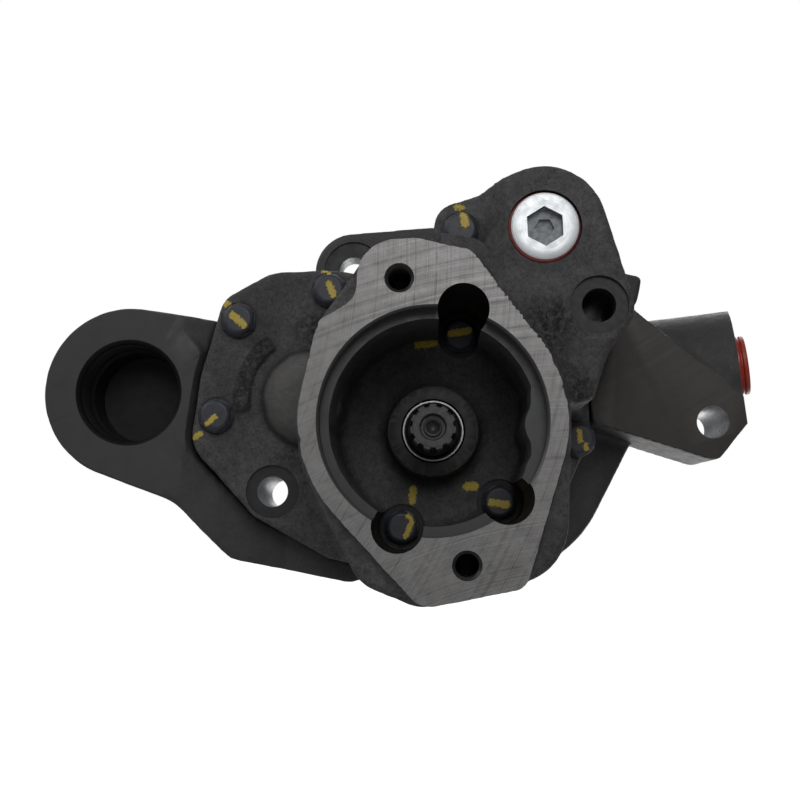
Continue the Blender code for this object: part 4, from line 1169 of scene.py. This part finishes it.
def make_screw(name, place, seat, end):
    """A hexagon head on a round flange, with its shank."""
    across, height = 12.6, 5.2
    corner = across / math.sqrt(3)
    top = seat - height
    rings = [(4.9 * step / 14, top) for step in range(1, 15)]
    crown = [(0, top)] + rings + [(5.25, top + 0.12), (5.7, top + 0.4), (6.2, top + 1.1)]
    crown += [(corner - 0.25, top + 2.2), (corner + 0.1, top + 3.2), (corner + 0.4, seat), (0, seat)]
    head = spin(crown, place, 72, name=name)
    angles = [TURN * (side + 0.5) / 6 for side in range(6)]
    hexagon = [(place[0] + corner * math.cos(a), place[1] + corner * math.sin(a)) for a in angles]
    combine(head, prism(hexagon, top - 1, seat - 0.2), "INTERSECT")
    flange = [(0, seat - 1.7), (5.9, seat - 1.7), (6.8, seat - 1.4), (7.1, seat - 0.9)]
    flange += [(7.1, seat), (0, seat)]
    shank = [(0, seat - 0.6), (3.9, seat - 0.6), (3.9, end - 0.8), (3.2, end), (0, end)]
    add(head, spin(flange, place, 72), spin(shank, place, 24))
    head.data.materials.clear()
    head.data.materials.append(SCREW_FINISH)
    keep_daubs(head)
    return shade(head, 28)


def make_outlet_plug():
    """A flanged plug with a deep hexagon socket, one of whose corners is up."""
    front, back = LOBE_Y - 1, LOBE_Y + 2.2
    profile = [(0, front), (9.2, front), (PLUG_FLANGE - 0.7, front), (PLUG_FLANGE - 0.2, front + 0.2)]
    profile += [(PLUG_FLANGE, front + 0.7), (PLUG_FLANGE, back), (PLUG_SHANK, back)]
    profile += [(PLUG_SHANK, LOBE_Y + 15), (0, LOBE_Y + 15)]
    plug = spin(profile, OUTLET, 96, name="outlet_plug_visual")
    plug.data.materials.append(ZINC)
    angles = [TURN * (side + 0.5) / 6 + 0.04 for side in range(6)]
    ring = [(OUTLET[0] + 7.6 * math.cos(a), OUTLET[1] + 7.6 * math.sin(a)) for a in angles]
    cut(plug, SOCKET, prism(ring, front - 1, front + 3.6))
    drilled = [(0, front - 1), (4.1, front - 1), (3.7, front + 5.4), (0, front + 6.4)]
    cut(plug, SOCKET, spin(drilled, OUTLET, 6))
    return shade(plug, 30)


def torus(name, place, radius, thickness, depth, finish):
    """A round ring of round section."""
    section = []
    for step in range(16):
        angle = TURN * step / 16
        section.append((radius + thickness * math.cos(angle), depth + thickness * math.sin(angle)))
    obj = spin(section, place, 128, ring=True, name=name)
    obj.data.materials.append(finish)
    return shade(obj, 60)


def make_pressure_cap():
    """The push-in transport cap with its two rims, made along Y and then tilted."""
    cap = spin(
        [(0, -4.8), (11.7, -4.8), (12.35, -4.6), (12.6, -4.1), (12.6, -3.1), (12.4, -2.8), (11.8, -2.5)]
        + [(11.8, -2.1), (12.5, -1.8), (13.0, -1.5), (13.1, -0.6), (12.8, -0.3), (9.6, -0.3)]
        + [(9.6, 4), (9.9, 4.4), (9.6, 4.8), (9.0, 12), (0, 12)],
        sides=96,
        name="port_cap",
    )
    cut(cap, None, spin([(0, -6), (9.2, -6), (8.9, -4.4), (8.3, -1), (7.4, 8), (0, 8)]))
    cap.data.materials.clear()
    cap.data.materials.append(RED_PLASTIC)
    cap.rotation_mode = "QUATERNION"
    cap.rotation_quaternion = PRESSURE_OUTWARDS.to_track_quat("-Y", "Z")
    cap.location = PRESSURE_FACE * MM
    return shade(cap, 30)


# ---------------------------------------------------------------- assembly


def dress_inner_nodes():
    """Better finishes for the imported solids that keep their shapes."""
    for finish, nodes in (
        (GROUND_STEEL, ("dowel_pin_1", "dowel_pin_2")),
        (BRONZE, ("front_drive_bush", "rear_drive_bush", "front_idler_bush", "rear_idler_bush")),
        (BRONZE, ("front_wear_plate", "rear_wear_plate")),
        (RUBBER, ("front_plate_seal", "rear_plate_seal", "cover_joint_seal", "outlet_bore_seal")),
        (SEAL_STEEL, ("rear_seal_circlip",)),
    ):
        for node in nodes:
            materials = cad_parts[node].data.materials
            if materials:
                materials[0] = finish
            else:
                materials.append(finish)


def build():
    cover = make_front_cover()
    keep_daubs(cover)
    keep_shares(cover)
    place_piece(shade(cover), "housing", "cover_iron", "front_cover")
    place_piece(shade(make_pump_body()), "housing", "body_iron", "pump_body")
    place_piece(make_drive_shaft(), "drive_gear", "gear_steel", "drive_gear_shaft")
    place_piece(make_idler_shaft(), "idler_gear", "gear_steel", "idler_gear_shaft")
    for name, outer, front, back, facing in (
        ("front_shaft_seal", 12.3, BOSS_Y + 0.3, BOSS_Y + 9, 1),
        ("rear_shaft_seal", 15, REAR_BORE_Y + 0.3, REAR_HUB_Y - 3.5, -1),
    ):
        case, rubber = make_lip_seal(name, outer, front, back, facing)
        place_piece(case, "housing", "seal_case_steel", name)
        place_piece(rubber, "housing", "seal_rubber", name)
    screws = [(place, PLATE_Y) for place in PLATE_SCREWS + POCKET_SCREWS]
    screws.append((LOBE_SCREW, LOBE_SEAT_Y))
    for number, (place, seat) in enumerate(screws, 1):
        screw = make_screw(f"hex_screw_{number}", place, seat - 0.3, -10)
        place_piece(screw, "housing", "screw_steel", f"cover_screw_{number}")
    place_piece(make_outlet_plug(), "housing", "plug_zinc", "outlet_plug")
    ring = torus("plug_ring", PLUG_RING, 12.7, 0.75, LOBE_Y + 0.1, RED_RUBBER)
    place_piece(ring, "housing", "o_ring_red", "outlet_plug_o_ring")
    place_piece(make_pressure_cap(), "port_cap", "cap_plastic", "pressure_port_cap")
    dress_inner_nodes()


def make_floor():
    """A pale floor that stays white wherever it is seen directly."""
    floor = link("floor", bpy.data.meshes.new("floor"))
    shape = bmesh.new()
    bmesh.ops.create_circle(shape, cap_ends=True, segments=96, radius=9)
    shape.to_mesh(floor.data)
    shape.free()
    floor.location = (0, 0, cad_low.z - FLOOR_DROP)
    finish = Finish("pale_floor", 0.9)
    base = finish.mix(finish.noise(300, 2), (0.4, 0.4, 0.4), (0.42, 0.42, 0.42))
    seen = finish.add("LightPath").outputs["Is Camera Ray"]
    finish.shader.inputs["Emission Color"].default_value = (1, 1, 1, 1)
    finish.tree.links.new(seen, finish.shader.inputs["Emission Strength"])
    floor.data.materials.append(finish.done(base))


def make_world():
    """White where it is seen directly, and a soft light that is stronger from above."""
    world = bpy.data.worlds.new("studio")
    world.use_nodes = True
    bpy.context.scene.world = world
    tree = world.node_tree
    direction = tree.nodes.new("ShaderNodeTexCoord").outputs["Generated"]
    parts = tree.nodes.new("ShaderNodeSeparateXYZ")
    tree.links.new(direction, parts.inputs[0])
    gradient = tree.nodes.new("ShaderNodeMapRange")
    tree.links.new(parts.outputs["Z"], gradient.inputs["Value"])
    for socket, value in zip(("From Min", "From Max", "To Min", "To Max"), SKY_RANGE):
        gradient.inputs[socket].default_value = value
    seen = tree.nodes.new("ShaderNodeLightPath").outputs["Is Camera Ray"]
    strength = tree.nodes.new("ShaderNodeMix")
    tree.links.new(seen, strength.inputs["Factor"])
    tree.links.new(gradient.outputs[0], strength.inputs["A"])
    strength.inputs["B"].default_value = 1.0
    background = tree.nodes["Background"]
    background.inputs["Color"].default_value = (1, 1, 1, 1)
    tree.links.new(strength.outputs[0], background.inputs["Strength"])


def make_lamps():
    for name, place, size, power in LAMPS:
        lamp = bpy.data.lights.new(name, "AREA")
        lamp.shape = "DISK"
        lamp.size = size
        lamp.energy = power
        obj = bpy.data.objects.new(name, lamp)
        bpy.context.scene.collection.objects.link(obj)
        obj.location = place
        obj.rotation_mode = "QUATERNION"
        obj.rotation_quaternion = (-Vector(place)).to_track_quat("-Z", "Y")


def make_camera():
    data = bpy.data.cameras.new("camera")
    data.sensor_width = 36
    data.lens = CAMERA_LENS
    data.clip_start = 0.01
    camera = bpy.data.objects.new("camera", data)
    bpy.context.scene.collection.objects.link(camera)
    camera.location = CAMERA_PLACE
    camera.rotation_mode = "QUATERNION"
    camera.rotation_quaternion = CAMERA_FORWARD.to_track_quat("-Z", "Y")
    bpy.context.scene.camera = camera


make_camera()
make_floor()
make_world()
make_lamps()
bpy.context.scene.view_settings.view_transform = "Standard"
build()
